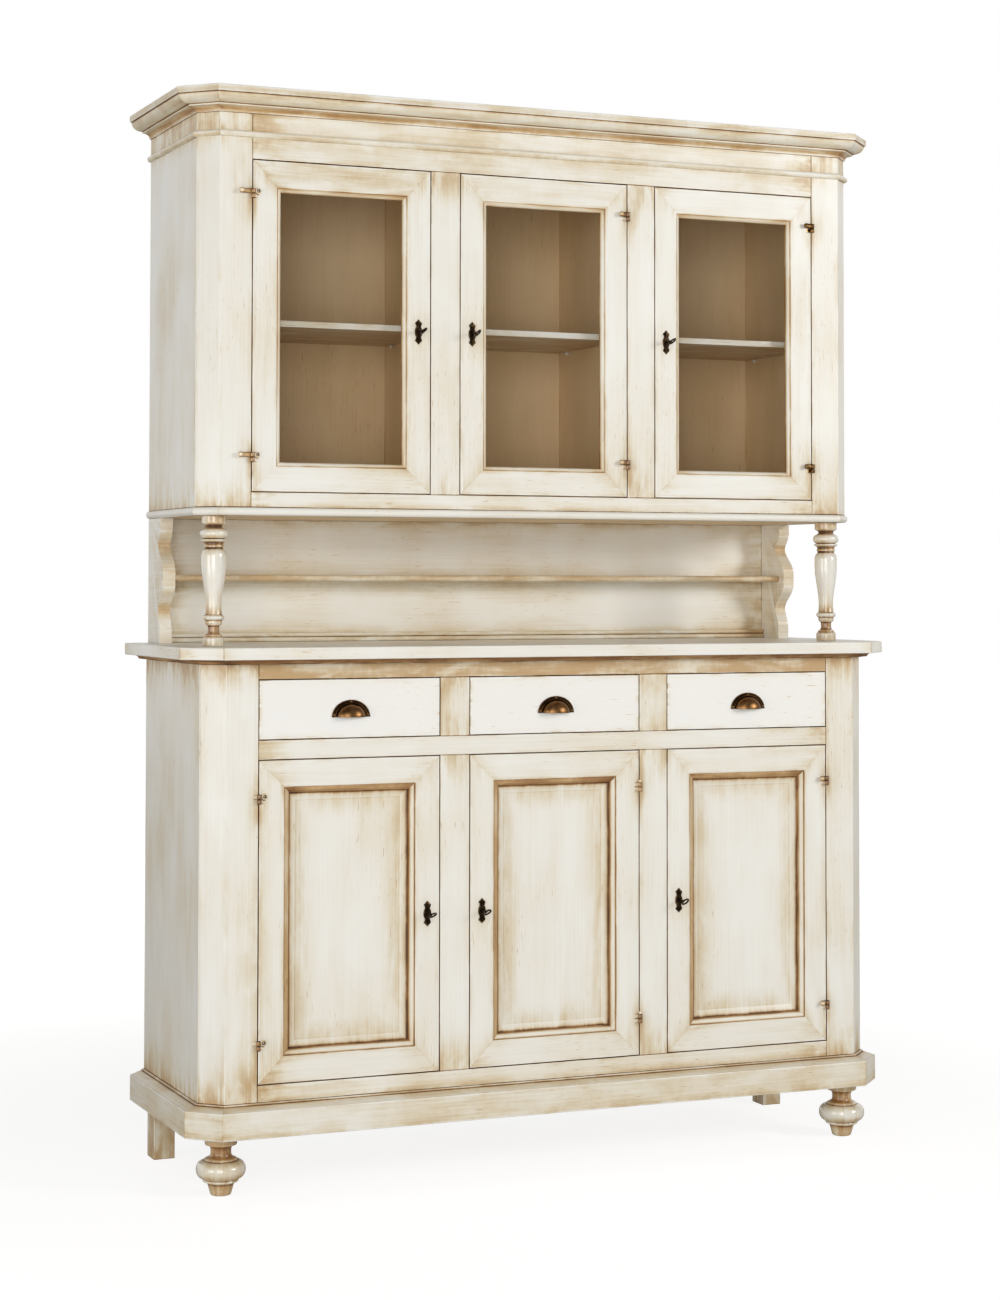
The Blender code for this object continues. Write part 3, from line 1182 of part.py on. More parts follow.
def make_key(name, place, face_y, tilt):
    """A key in its lock: round shank, collar and an oval ring bow tilted from upright."""
    x, z = place
    shank = cylinder(KEY_SHANK_RADIUS, KEY_SHANK_IN + KEY_SHANK_OUT, 10)
    key = add_object(name, move_mesh(shank, Matrix.Translation((0, KEY_SHANK_IN, 0))
                                     @ Matrix.Rotation(math.pi / 2, 4, "X")), BRONZE)
    half_length = KEY_BOW_LENGTH / 2 - KEY_BOW_WIRE
    half_width = KEY_BOW_WIDTH / 2 - KEY_BOW_WIRE
    middle = -KEY_SHANK_OUT - half_length + 0.0012
    rings = []
    for step in range(14):
        angle = math.tau * step / 14
        centre = Vector((0, middle + half_length * math.cos(angle),
                         half_width * math.sin(angle)))
        outward = Vector((0, math.cos(angle) / half_length, math.sin(angle) / half_width))
        outward.normalize()
        ring = []
        for turn in range(6):
            swing = math.tau * turn / 6
            ring.append(centre + outward * (KEY_BOW_WIRE * math.cos(swing))
                        + Vector((KEY_BOW_WIRE * math.sin(swing), 0, 0)))
        rings.append(ring)
    unite(key, loft(rings, closed=True))
    key.data.transform(Matrix.Rotation(math.radians(tilt), 4, "Y"))
    key.location = (x, face_y, z)
    return smooth(key, 50)


GLAZED_KEY_TILT = (20, 25, 20)
PANELLED_KEY_TILT = (45, 40, 35)
for index, word in enumerate(BAY_NAMES):
    make_key("glazed_key_" + word, key_place(index, Z_GLAZED, GLAZED_OPENING),
             HUTCH_SETBACK, GLAZED_KEY_TILT[index])
    make_key("panelled_key_" + word, key_place(index, Z_LOWER_DOOR, LOWER_DOOR_OPENING),
             0.0, PANELLED_KEY_TILT[index])


# Move the whole cabinet from the building plane to the middle of its footprint

for piece in bpy.data.objects:
    piece.location.y -= FOOTPRINT_MIDDLE

print("pieces", len(bpy.data.objects), "height", round(Z_TOTAL, 4))
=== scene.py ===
# %% [markdown]
# # A painted country china cabinet
# The cabinet is built of plain boards, mitred mouldings and turned posts, painted cream,
# then wiped with a brown glaze that stays in hollows and along board ends. This lesson
# builds each board as a surface of its own, so that the glaze can follow its grain.

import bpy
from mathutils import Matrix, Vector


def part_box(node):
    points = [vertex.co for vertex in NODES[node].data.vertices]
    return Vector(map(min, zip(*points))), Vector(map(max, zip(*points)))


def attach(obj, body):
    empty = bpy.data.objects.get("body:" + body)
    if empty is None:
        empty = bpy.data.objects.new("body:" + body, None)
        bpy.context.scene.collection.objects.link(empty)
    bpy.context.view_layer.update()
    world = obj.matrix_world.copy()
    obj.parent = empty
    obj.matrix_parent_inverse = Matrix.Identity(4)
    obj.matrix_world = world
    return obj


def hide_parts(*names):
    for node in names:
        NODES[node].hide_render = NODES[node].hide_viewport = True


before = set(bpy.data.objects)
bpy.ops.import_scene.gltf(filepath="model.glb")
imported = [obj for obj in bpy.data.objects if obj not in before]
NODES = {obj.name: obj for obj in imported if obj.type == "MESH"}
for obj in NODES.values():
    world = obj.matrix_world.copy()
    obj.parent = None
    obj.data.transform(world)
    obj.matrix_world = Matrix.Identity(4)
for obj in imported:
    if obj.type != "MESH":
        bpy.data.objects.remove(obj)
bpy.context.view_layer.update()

import math
from functools import partial

import bmesh
import bpy
import numpy as np

# %% [markdown]
# ## Sizes
# The heights and the planes of the fronts are read from the frame, so a board lies where
# its solid lies. The widths that all pieces share are named here once, in metres.

# %% Sizes shared by all pieces
SEAT = 0.0003            # between two pieces that bear on each other
TOUCH = 0.0002           # between two boards of one piece
REVEAL = 0.0016          # round a door or drawer
BAY = 0.370
MULLION = 0.0615
CORNER_FLAT = 0.064
BASE_CANT = 0.040
HUTCH_CANT = 0.0365
HUTCH_SETBACK = 0.054
FRAME_THICKNESS = 0.022
MULLION_DEPTH = 0.030
BASE_SIDE = 0.020        # thickness of the side boards
HUTCH_SIDE = 0.025
PARTITION_AT = 0.202     # from the middle of the case
PARTITION_HALF = 0.009
DRAWER_RAIL = 0.0365
FLOOR_THICKNESS = 0.016
SIDES = (("left", -1), ("right", 1))
BAYS = ("left", "middle", "right")


def low_z(node):
    """Height of a node's underside."""
    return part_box(node)[0].z


def high_z(node):
    """Height of a node's top."""
    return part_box(node)[1].z


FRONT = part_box("base_top_rail")[0].y
HUTCH_FRONT = FRONT + HUTCH_SETBACK
BACK_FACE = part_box("base_back")[0].y
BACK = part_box("base_back")[1].y
MIDDLE_HALF = BAY / 2
END_BAY_IN = MIDDLE_HALF + MULLION
OPENING_HALF = END_BAY_IN + BAY
FLAT_HALF = OPENING_HALF + CORNER_FLAT
BASE_HALF = FLAT_HALF + BASE_CANT
HUTCH_HALF = FLAT_HALF + HUTCH_CANT
BAY_CENTRES = (-(END_BAY_IN + MIDDLE_HALF), 0.0, END_BAY_IN + MIDDLE_HALF)
HINGE_SIDE = (-1, 1, 1)
Z_PLINTH_TOP = high_z("plinth")
Z_LOWER_DOOR = high_z("base_floor")
Z_DRAWER_RAIL = low_z("drawer_rail")
Z_DRAWER = Z_DRAWER_RAIL + DRAWER_RAIL
Z_TOP_RAIL = low_z("base_top_rail")
Z_BASE_TOP = high_z("base_top_rail")
Z_COUNTER = high_z("counter_top")
Z_HUTCH = low_z("hutch_floor")
Z_HUTCH_FLOOR = Z_HUTCH + FLOOR_THICKNESS
Z_GLAZED = high_z("hutch_floor")
Z_FRIEZE = low_z("hutch_frieze")
Z_CROWN = low_z("cornice")
Z_TOTAL = high_z("cornice")
Z_BEAD = Z_FRIEZE + 0.047
Z_BASE_FLOOR = Z_PLINTH_TOP + 0.020
# Kind of door, plane of its front, heights of its opening, hinges this far from its ends.
DOORS = (("glazed", HUTCH_FRONT, Z_GLAZED, Z_FRIEZE, 0.067),
         ("panelled", FRONT, Z_LOWER_DOOR, Z_DRAWER_RAIL, 0.0745))
print("counter at", round(Z_COUNTER, 4), "top at", round(Z_TOTAL, 4))

# %% [markdown]
# ## Nodes and colours
# A colour is written as the sRGB hex value that the eye would pick from a paint card, and
# turned into the linear value that the renderer adds up. One function adds a node, sets
# it and links it, so that a material reads as a list of what it is mixed from.

# %% Colour and node helpers
def linear(code):
    """sRGB hex to linear red, green, blue and alpha 1: small values are divided by 12.92,
    the others are ((c + 0.055) / 1.055) to the power 2.4."""
    srgb = np.array([int(code[i:i + 2], 16) for i in (1, 3, 5)]) / 255
    value = np.where(srgb <= 0.04045, srgb / 12.92, ((srgb + 0.055) / 1.055) ** 2.4)
    return (*value.tolist(), 1.0)


def add(tree, kind, *ordered, named=(), stops=(), out=0, **settings):
    """Add a node, set its properties, fill or link its sockets in order and by name, and
    give one output back. stops are the (place, hex) colours of a ramp."""
    node = tree.nodes.new("ShaderNode" + kind)
    for key, value in settings.items():
        setattr(node, key, value)
    for key, value in [*enumerate(ordered), *dict(named).items()]:
        if isinstance(value, bpy.types.NodeSocket):
            tree.links.new(value, node.inputs[key])
        else:
            node.inputs[key].default_value = value
    if stops:
        elements = node.color_ramp.elements
        for element, (place, code) in zip(elements[:], (stops[0], stops[-1])):
            element.position, element.color = place, linear(code)
        for place, code in stops[1:-1]:
            elements.new(place).color = linear(code)
    return node.outputs[out] if node.outputs else node


def new_material(name):
    """A material with an empty node tree, and `add` for that tree."""
    material = bpy.data.materials.new(name)
    material.use_nodes = True
    material.node_tree.nodes.clear()
    return material, partial(add, material.node_tree)


def surfaced(material, node, sockets):
    """The material, once one shader with these sockets is its surface."""
    node("OutputMaterial", node("BsdfPrincipled", named=sockets))
    return material


def stretched_noise(node, vector, scale, detail=3.0, distortion=0.0):
    """Noise whose patches are about 1 / scale metres along each axis."""
    moved = node("Mapping", named={"Vector": vector, "Scale": scale})
    return node("TexNoise", named={"Vector": moved, "Scale": 1.0, "Detail": detail,
                                   "Distortion": distortion})


def weighted(node, *terms):
    """Sum of value times share over (value, share) terms."""
    total = 0.0
    for value, share in terms:
        total = node("Math", value, share, total, operation="MULTIPLY_ADD")
    return total


# %% [markdown]
# ## Glazed paint
# The real finish is satin cream paint with a brown glaze brushed on and wiped off. Wiping
# leaves thin streaks along the grain, smudges near the ends of each board, a line in each
# joint, and dark brown in every hollow. The material reads five things that each piece
# carries: a map in metres along and across the grain, the distances to the nearest end
# and edge of the board, how deep a point lies in a hollow, with painted shade added on
# faces in reveals and on shaded members, how far it stands out on an arris, and how much
# soft glaze lies there, with painted shade under ledges. Noise then breaks each stain up
# as a rag would.

# %% The paint
SMOOTH = {"interpolation_type": "SMOOTHSTEP"}
TIMES = {"operation": "MULTIPLY"}


def painted_wood(name, colours, streaking, ends, edges, roughness, coat=0.15):
    """Paint and glaze. The glaze is the sum of streaks, end smudges, edge smudges, flecks,
    soft stains and filled hollows, less what is rubbed off the arrises; a ramp turns it
    into colour. Soft stains and filled hollows also carry painted shade. Filled hollows are
    matt, so they stay dark."""
    material, node = new_material(name)
    grain = node("UVMap", uv_map="grain")
    margins = node("SeparateXYZ", node("UVMap", uv_map="margins"))
    end, edge = margins, margins.node.outputs[1]
    hollow, stain, rub = (node("Attribute", out=2, attribute_name=key)
                          for key in ("hollow", "stain", "rub"))
    place = node("TexCoord", out=3)

    def broken_up(amount, pattern, low, high, least, most):
        """The amount times a share: from least to most as the pattern goes low to high."""
        share = node("MapRange", pattern, low, high, least, most, **SMOOTH)
        return node("Math", amount, share, **TIMES)

    streak = stretched_noise(node, grain, (5, 240, 1), 4.0, 0.2)   # 4 mm across, 0.2 m along
    broad = stretched_noise(node, grain, (4, 22, 1), 3.0, 0.5)     # 45 mm across
    bristle = stretched_noise(node, grain, (40, 1300, 1), 2.0)     # under 1 mm
    dash = stretched_noise(node, grain, (34, 520, 1), 2.0, 0.3)    # 30 mm by 2 mm
    cloud = stretched_noise(node, place, (5.5, 5.5, 4.0))          # 0.2 m
    patchy = stretched_noise(node, grain, (9, 34, 1), 3.0, 0.8)    # 30 mm across, 0.1 m along
    mottle = stretched_noise(node, place, (95, 95, 60))            # 10 mm across, 17 mm up

    wiped = weighted(node, (streak, 0.22), (broad, 0.29), (cloud, 0.49))
    body = node("MapRange", wiped, 0.40, 0.66, 0.0, streaking)
    ragged = weighted(node, (patchy, 0.70), (mottle, 0.20), (streak, 0.10))
    near_end = node("MapRange", end, 0.0, 0.085, 1.0, 0.0, **SMOOTH)
    near_end = broken_up(near_end, ragged, 0.38, 0.64, 0.15, 1.0)
    near_edge = node("MapRange", edge, 0.0, 0.012, 1.0, 0.0, **SMOOTH)
    near_edge = broken_up(near_edge, patchy, 0.42, 0.62, 0.0, 1.0)
    flecks = node("MapRange", dash, 0.655, 0.73, 0.0, 0.38, **SMOOTH)
    flecks = broken_up(flecks, cloud, 0.44, 0.58, 0.0, 1.0)
    # Soft stains and filled hollows carry glaze, and also the painted shade of ledges, reveals
    # and shaded members.
    soft = broken_up(stain, ragged, 0.34, 0.64, 0.45, 1.20)
    filled = broken_up(hollow, ragged, 0.36, 0.60, 0.80, 1.06)
    rubbed = broken_up(rub, ragged, 0.36, 0.60, 1.30, 0.50)
    total = weighted(node, (body, 1.0), (flecks, 1.0), (near_end, ends), (near_edge, edges),
                     (soft, 1.0))
    wiped_on = node("Math", total, 0.50, 0.25, operation="SMOOTH_MIN")
    kept = node("MapRange", rubbed, 0.1, 0.9, 1.0, 0.15, **SMOOTH)
    total = node("Math", node("Math", wiped_on, filled), kept, **TIMES)
    dull = node("MapRange", cloud, 0.3, 0.7, roughness - 0.05, roughness + 0.05)
    height = weighted(node, (bristle, 0.6), (streak, 0.4))
    return surfaced(material, node, {
        "Base Color": node("ValToRGB", total, stops=colours),
        "Roughness": weighted(node, (hollow, 0.35), (dull, 1.0)),
        "Normal": node("Bump", named={"Strength": 0.25, "Distance": 0.0003,
                                      "Height": height}),
        "Coat Weight": node("MapRange", hollow, 0.2, 0.8, coat, 0.0),
        "Coat Roughness": 0.18, "IOR": 1.5})


def glaze_scale(*codes):
    """Colours from bare paint to a filled hollow, at six shares of glaze."""
    return tuple(zip((0.0, 0.12, 0.30, 0.52, 0.76, 1.0), codes))


CREAM = glaze_scale("#ECEAE3", "#E7E2D6", "#D8CAAE", "#BB996A", "#8B6034", "#432A12")
CLEAN = glaze_scale("#F0EFEB", "#EDEAE2", "#DFD1B5", "#BF9862", "#7E522C", "#3C2410")
# TAUPE, the paint inside the hutch, is warmer and tanner than the cream, partly as painted
# shade inside the closed case.
TAUPE = glaze_scale("#F0D7AE", "#E6CA9C", "#CDAB7C", "#A07C50", "#6C4B2B", "#3C2410")
CASE_PAINT = painted_wood("cream_paint_glazed", CREAM, 0.22, 0.28, 0.10, 0.42)
SIDE_PAINT = painted_wood("cream_paint_streaked", CREAM, 0.26, 0.24, 0.12, 0.45)
TURNED_PAINT = painted_wood("cream_paint_on_turning", CREAM, 0.24, 0.0, 0.0, 0.24, 0.7)
DRAWER_PAINT = painted_wood("cream_paint_wiped_clean", CLEAN, 0.06, 0.22, 0.12, 0.40)
INSIDE_PAINT = painted_wood("taupe_paint_glazed", TAUPE, 0.16, 0.20, 0.20, 0.50)
print("paints", CASE_PAINT.name, SIDE_PAINT.name, TURNED_PAINT.name, DRAWER_PAINT.name,
      INSIDE_PAINT.name)

# %% [markdown]
# ## Bare wood, bronze, brass and glass
# Drawer boxes and the back are bare pine. The pulls and keys are brass, blackened
# and lacquered as antique bronze, which shows its copper colour where hands rub it. The
# hinges are brass that the painter's brush caught. The panes are clear sheet glass, which
# the eye knows mostly by a slight darkening.

# %% Other materials
def bare_pine(name):
    """Planed pine: light bands of summer wood 20 mm wide along the grain."""
    material, node = new_material(name)
    bands = stretched_noise(node, node("UVMap", uv_map="grain"), (1.5, 45.0, 1.0), 5.0, 0.6)
    colour = node("ValToRGB", bands,
                  stops=((0.3, "#D9BF95"), (0.5, "#CDAE80"), (0.7, "#B48E5E")))
    bump = node("Bump", named={"Strength": 0.2, "Distance": 0.0003, "Height": bands})
    return surfaced(material, node, {"Base Color": colour, "Roughness": 0.6, "Normal": bump,
                                     "IOR": 1.5})


def patinated(name, dark, worn, rubbed, roughness, cloudy=0.5):
    """Blackened metal: patina in 8 mm clouds, and bright metal where `rub` says it stands
    out."""
    material, node = new_material(name)
    cloud = node("TexNoise", named={"Vector": node("TexCoord", out=3), "Scale": 120.0,
                                    "Detail": 4.0})
    wear = node("Math", node("MapRange", cloud, 0.35, 0.7, 0.0, cloudy),
                node("Attribute", out=2, attribute_name="rub"))
    colour = node("ValToRGB", wear, stops=((0.0, dark), (0.5, worn), (1.0, rubbed)))
    polish = node("MapRange", cloud, 0.3, 0.7, roughness - 0.08, roughness + 0.1)
    bump = node("Bump", named={"Strength": 0.2, "Distance": 0.0002, "Height": cloud})
    return surfaced(material, node, {"Base Color": colour, "Roughness": polish,
                                     "Metallic": 1.0, "Normal": bump})


def sheet_glass(name):
    """A clear pane that lets most light straight through, with a faint drawn waviness."""
    material, node = new_material(name)
    wave = stretched_noise(node, node("TexCoord", out=3), (6.0, 6.0, 1.5), 1.0)
    bump = node("Bump", named={"Strength": 0.05, "Distance": 0.002, "Height": wave})
    tint = node("ValToRGB", wave, stops=((0.0, "#241F19"), (1.0, "#2E2820")))
    return surfaced(material, node, {"Base Color": tint, "Roughness": 0.03, "Normal": bump,
                                     "Alpha": 0.08, "IOR": 1.52})


PINE = bare_pine("planed_pine")
BRONZE = patinated("blackened_bronze", "#15100B", "#34271A", "#8A6C44", 0.36)
PULL_BRONZE = patinated("rubbed_bronze", "#171009", "#67482A", "#A67C50", 0.36, 0.14)
BRASS = patinated("darkened_brass", "#4A3420", "#8A6A3E", "#D4B980", 0.30)
CAUGHT = glaze_scale("#F0E8D6", "#E6D7B8", "#C9A977", "#9C7241", "#62401F", "#2C1A0B")
HINGE_PAINT = painted_wood("cream_paint_over_brass", CAUGHT, 0.16, 0.0, 0.0, 0.24, 0.7)
PANE = sheet_glass("sheet_glass")
print("metals", BRONZE.name, PULL_BRONZE.name, BRASS.name, "and", PANE.name)

# %% [markdown]
# ## Patches and pieces
# Every piece is made of patches: a grid of points, or one flat face that closes an end.
# A patch carries the maps that the paint reads. Patches of one piece are put together,
# their shared edges are merged, and their faces are turned outwards.

# %% Patch and piece
RNG = np.random.default_rng(12)
MERGE = 0.000001
FAR = 0.2                # from an end or edge, beyond the reach of its smudge
METAL = {"slot": "dark_bronze", "crisp": 50}
# Ledges, where glaze gathers and painted shade falls under or over a moulding: height,
# the way from it that the darkening lies, share, reach.
LEDGE_GLAZE_AND_SHADE = ((Z_BASE_TOP, -1, 0.46, 0.014), (Z_PLINTH_TOP, 1, 0.26, 0.014),
          (Z_CROWN, -1, 0.16, 0.012), (Z_BEAD - 0.0063, -1, 0.28, 0.007),
          (Z_BEAD + 0.0063, 1, 0.24, 0.008), (Z_HUTCH_FLOOR, 1, 0.22, 0.010))
# Spots: place, share, width and height. First those at hinges and keyholes.
SPOTS = []
for _, face, z0, z1, inset in DOORS:
    for centre, side in zip(BAY_CENTRES, HINGE_SIDE):
        for z in (z0 + inset, z1 - inset):
            SPOTS.append(((centre + side * MIDDLE_HALF, face, z - 0.010), 0.34, 0.014, 0.040))
        SPOTS.append(((centre - side * (MIDDLE_HALF - 0.027), face, (z0 + z1) / 2 - 0.004),
                      0.16, 0.020, 0.034))
SPOTS += [((BAY_CENTRES[0], HUTCH_FRONT, Z_FRIEZE - 0.022), 0.26, 0.20, 0.030),
          ((BAY_CENTRES[1], HUTCH_FRONT, Z_FRIEZE - 0.020), 0.14, 0.14, 0.026),
          ((-OPENING_HALF, FRONT, Z_LOWER_DOOR), 0.26, 0.060, 0.090),
          ((BAY_CENTRES[0] - 0.05, FRONT, Z_LOWER_DOOR - 0.012), 0.18, 0.16, 0.020),
          ((-OPENING_HALF - 0.01, FRONT, 0.42), 0.16, 0.030, 0.20),
          ((-OPENING_HALF - 0.02, HUTCH_FRONT, 1.93), 0.16, 0.040, 0.060)]


def stacked(*coordinates):
    """Arrays brought to one shape and stacked as the coordinates of points."""
    return np.stack(np.broadcast_arrays(*coordinates), -1)


def patch(points, grain, end=FAR, edge=FAR, hollow=0.0, rub=0.0, stain=0.0):
    """A grid of points as quads, from each row and column to the next."""
    rows, columns = points.shape[:2]
    index = np.arange(rows * columns).reshape(rows, columns)
    quads = np.stack([index[:-1, :-1], index[:-1, 1:], index[1:, 1:], index[1:, :-1]], -1)
    fill = [np.broadcast_to(np.asarray(v, float), (rows, columns)).reshape(-1)
            for v in (end, edge, hollow, rub, stain)]
    return {"points": points.reshape(-1, 3), "faces": quads.reshape(-1, 4),
            "grain": grain.reshape(-1, 2), "margins": np.stack(fill[:2], -1),
            "hollow": fill[2], "rub": fill[3], "stain": fill[4]}


def cap(points, axes, end=FAR, edge=FAR, hollow=0.0):
    """One flat face through a loop of points; its map is two of their coordinates."""
    count = len(points)
    shift = RNG.uniform(0, 50, 2)
    return {"points": points, "faces": np.arange(count)[None],
            "grain": points[:, list(axes)] + shift,
            "margins": np.tile((end, edge), (count, 1)), "hollow": np.full(count, hollow),
            "rub": np.zeros(count), "stain": np.zeros(count)}


def capped(grid, axes, **marks):
    """Caps on the first and last row of a grid whose last column repeats its first."""
    return [cap(grid[0, :-1], axes, **marks), cap(grid[-1, :-1], axes, **marks)]


def glaze_and_ledge_shade(points):
    """Soft darkening. Along ledges, glaze and painted shade: a share that falls off with
    height as exp(-distance / reach); round hinges and keyholes, glaze that falls off as a
    Gaussian."""
    x, y, z = points.T
    stain = np.zeros(len(points))
    for height, way, share, reach in LEDGE_GLAZE_AND_SHADE:
        away = (z - height) * way
        stain = np.maximum(stain, np.where(away > -0.0005, share * np.exp(-away / reach), 0))
    for (px, py, pz), share, wide, tall in SPOTS:
        near = np.exp(-((x - px) / wide) ** 2 - ((z - pz) / tall) ** 2)
        stain = np.maximum(stain, share * near * (np.abs(y - py) < 0.012))
    return stain


def make_piece(name, patches, material=CASE_PAINT, body="case", replaces=(),
               slot="cream_paint", crisp=40):
    """Put patches together as one closed mesh that rides on a body. Edges where faces
    meet at more than `crisp` degrees stay sharp."""
    def joined(key):
        return np.concatenate([p[key] for p in patches])

    first = np.cumsum([0] + [len(p["points"]) for p in patches])
    faces = [p["faces"] + start for p, start in zip(patches, first)]
    points = joined("points")
    mesh = bpy.data.meshes.new(name)
    mesh.from_pydata(points.tolist(), [], [face for group in faces for face in group.tolist()])
    corner = np.concatenate([group.ravel() for group in faces])
    for key in ("grain", "margins"):
        values = joined(key)[corner].astype(np.float32)
        mesh.uv_layers.new(name=key).data.foreach_set("uv", values.ravel())
    for key in ("hollow", "rub", "stain"):
        values = joined(key)
        if key == "stain" and material in (CASE_PAINT, SIDE_PAINT):
            values = np.maximum(values, glaze_and_ledge_shade(points))
        mesh.attributes.new(key, "FLOAT", "POINT").data.foreach_set(
            "value", values.astype(np.float32))
    work = bmesh.new()
    work.from_mesh(mesh)
    bmesh.ops.remove_doubles(work, verts=work.verts, dist=MERGE)
    bmesh.ops.dissolve_degenerate(work, dist=MERGE, edges=work.edges)
    bmesh.ops.recalc_face_normals(work, faces=work.faces)
    work.to_mesh(mesh)
    work.free()
    mesh.shade_smooth()
    mesh.set_sharp_from_angle(angle=math.radians(crisp))
    mesh.materials.append(material)
    piece = bpy.data.objects.new(name, mesh)
    bpy.context.scene.collection.objects.link(piece)
    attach(piece, body)
    if replaces:
        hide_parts(*replaces)
    return piece


# %% [markdown]
# ## Sections
# A cabinet maker eases every arris with a few strokes of a plane, and that small round is
# what catches the light. Here a section's corners are rounded with arcs. Glaze stays in
# the hollows of a section and is rubbed off its arrises: blurring the curve pulls it out
# of hollows and in from arrises, so the way a point moves tells which one it is on.

# %% Rounded and divided sections
EASE = 0.0011            # the round that a plane leaves on an arris
ARRIS = 0.0012           # how far from an arris it is rubbed
ARC_STEPS = 3
SUPPORT = 0.0003         # from a round to the next point on the flat
NEAR = (0.0014, 0.004, 0.010)
SAME = 1e-7              # points closer than this are one point
TINY = 1e-9              # keeps a division from being by zero


def eased(outline, radius):
    """Round the corners of a closed outline. An arc's centre lies on the bisector of its
    corner, at radius / sin(half the angle), and the arc turns from one side's normal to
    the other's by equal angles."""
    corner = np.asarray(outline, float)
    if not radius:
        return corner
    back = np.roll(corner, 1, axis=0) - corner
    ahead = np.roll(corner, -1, axis=0) - corner
    back /= np.linalg.norm(back, axis=1, keepdims=True)
    ahead /= np.linalg.norm(ahead, axis=1, keepdims=True)
    half = np.arccos(np.clip((back * ahead).sum(1, keepdims=True), -1, 1)) / 2
    bisector = back + ahead
    bisector /= np.maximum(np.linalg.norm(bisector, axis=1, keepdims=True), TINY)
    centre = corner + bisector * radius / np.sin(half)
    reach = radius / np.tan(half)
    start = corner + back * reach - centre
    stop = corner + ahead * reach - centre
    turn = math.pi - 2 * half[:, None]
    share = np.linspace(0, 1, ARC_STEPS + 1)[None, :, None]
    scale = np.maximum(np.sin(turn), TINY)
    arcs = (centre[:, None] + start[:, None] * np.sin((1 - share) * turn) / scale
            + stop[:, None] * np.sin(share * turn) / scale)
    lead = corner + back * (reach + SUPPORT)
    tail = corner + ahead * (reach + SUPPORT)
    points = np.concatenate([lead[:, None], arcs, tail[:, None]], axis=1).reshape(-1, 2)
    return points[np.linalg.norm(points - np.roll(points, -1, axis=0), axis=1) > SAME]


def divided(points, closed=True, near=NEAR):
    """Add points on long sides: at set distances from both ends, and in the middle."""
    points = np.asarray(points, float)
    gap = np.linalg.norm(np.roll(points, -1, axis=0) - points, axis=1)
    last = np.arange(len(points)) == len(points) - 1
    points = points[(gap > SAME) | (not closed and last)]
    start = points if closed else points[:-1]
    step = np.roll(points, -1, axis=0)[:len(start)] - start
    length = np.linalg.norm(step, axis=1)
    near = np.asarray(near)
    count = len(length)
    places = np.column_stack([np.zeros(count), np.tile(near, (count, 1)), length / 2,
                              length[:, None] - near[::-1]])
    fits = length[:, None] > 2.5 * near
    keep = np.column_stack([np.ones(count, bool), fits, length > 0.003, fits[:, ::-1]])
    spread = start[:, None] + (places / length[:, None])[..., None] * step[:, None]
    return spread[keep] if closed else np.vstack([spread[keep], points[-1:]])


def travelled(points):
    """Length along a curve up to each point."""
    return np.concatenate([[0], np.cumsum(np.linalg.norm(np.diff(points, axis=0), axis=1))])


def hollow_and_rub(points, closed, reach):
    """Glaze share and rub share of each point. The curve is resampled evenly and blurred
    with a Gaussian of width reach; the shift along the outward normal (on the right of
    the way it runs), over half of reach, is positive in a hollow and negative on an
    arris."""
    curve = np.vstack([points, points[:1]]) if closed else points
    far = travelled(curve)
    step = reach / 8
    even = np.linspace(0, far[-1], max(int(far[-1] / step), 16) + 1)
    dense = np.stack([np.interp(even, far, curve[:, i]) for i in (0, 1)], -1)
    half = int(3 * reach / step)
    kernel = np.exp(-0.5 * (np.arange(-half, half + 1) * step / reach) ** 2)
    kernel /= kernel.sum()
    if closed:
        padded = np.pad(dense[:-1], ((half, half + 1), (0, 0)), mode="wrap")
    else:
        padded = np.pad(dense, ((half, half), (0, 0)), mode="reflect", reflect_type="odd")
    blurred = np.stack([np.convolve(padded[:, i], kernel, "valid") for i in (0, 1)], -1)
    tangent = np.gradient(blurred, axis=0)
    normal = np.stack([tangent[:, 1], -tangent[:, 0]], -1)
    normal /= np.maximum(np.linalg.norm(normal, axis=1, keepdims=True), TINY)
    shift = ((blurred - dense) * normal).sum(1) / (0.5 * reach)
    if closed:
        x, y = dense.T
        shift *= np.sign((x[:-1] * y[1:] - x[1:] * y[:-1]).sum())
    value = np.interp(far[:len(points)], even, shift)
    return np.clip(value, 0, 1), np.clip(-value, 0, 1)


def glaze_and_rub(points, closed, fine=0.003, broad=0.011):
    """Full glaze in narrow hollows and about half of it in wide ones; rub on arrises."""
    hollow, rub = hollow_and_rub(points, closed, fine)
    wide = hollow_and_rub(points, closed, broad)[0]
    return np.maximum(hollow, 0.5 * wide), rub


def arc(centre, radii, start, end, steps):
    """Points on an ellipse between two angles in degrees."""
    angle = np.radians(np.linspace(start, end, steps + 1))
    return stacked(centre[0] + radii[0] * np.cos(angle), centre[1] + radii[1] * np.sin(angle))


def share_of(rule, section):
    """A share that is one number, or a function of a section's two coordinates."""
    return rule(*section.T) if callable(rule) else rule


# %% [markdown]
# ## Boards
# Most of the case is boards. A board is its section carried straight along the grain, so
# the map is simply metres along and metres round the section. The faces that look into a
# narrow reveal are darkened all over as painted shade: the shade that lies in the gap.

# %% Boards
FROM_END = (0.0, 0.0004, 0.0013, 0.005, 0.014, 0.032)
ROW = 0.028              # between the rows of points that carry the stains
JOINT = 0.62             # glaze in the line where a board's end meets its neighbour
JOINT_WIDTH = 0.001


def reveal_shade(depth):
    """Share of painted shade on a side face, by how far it lies behind the front."""
    return np.interp(depth, (0.0, 0.0002, 0.0006, 0.0012, 0.0240, 0.0245),
                     (0, 0.25, 0.75, 0.95, 0.95, 0))


def behind(face, coordinate=1):
    """A shade for frame boards: painted shade on every side face that lies behind the front.
    """
    return lambda a, b: reveal_shade((a, b)[coordinate] - face)


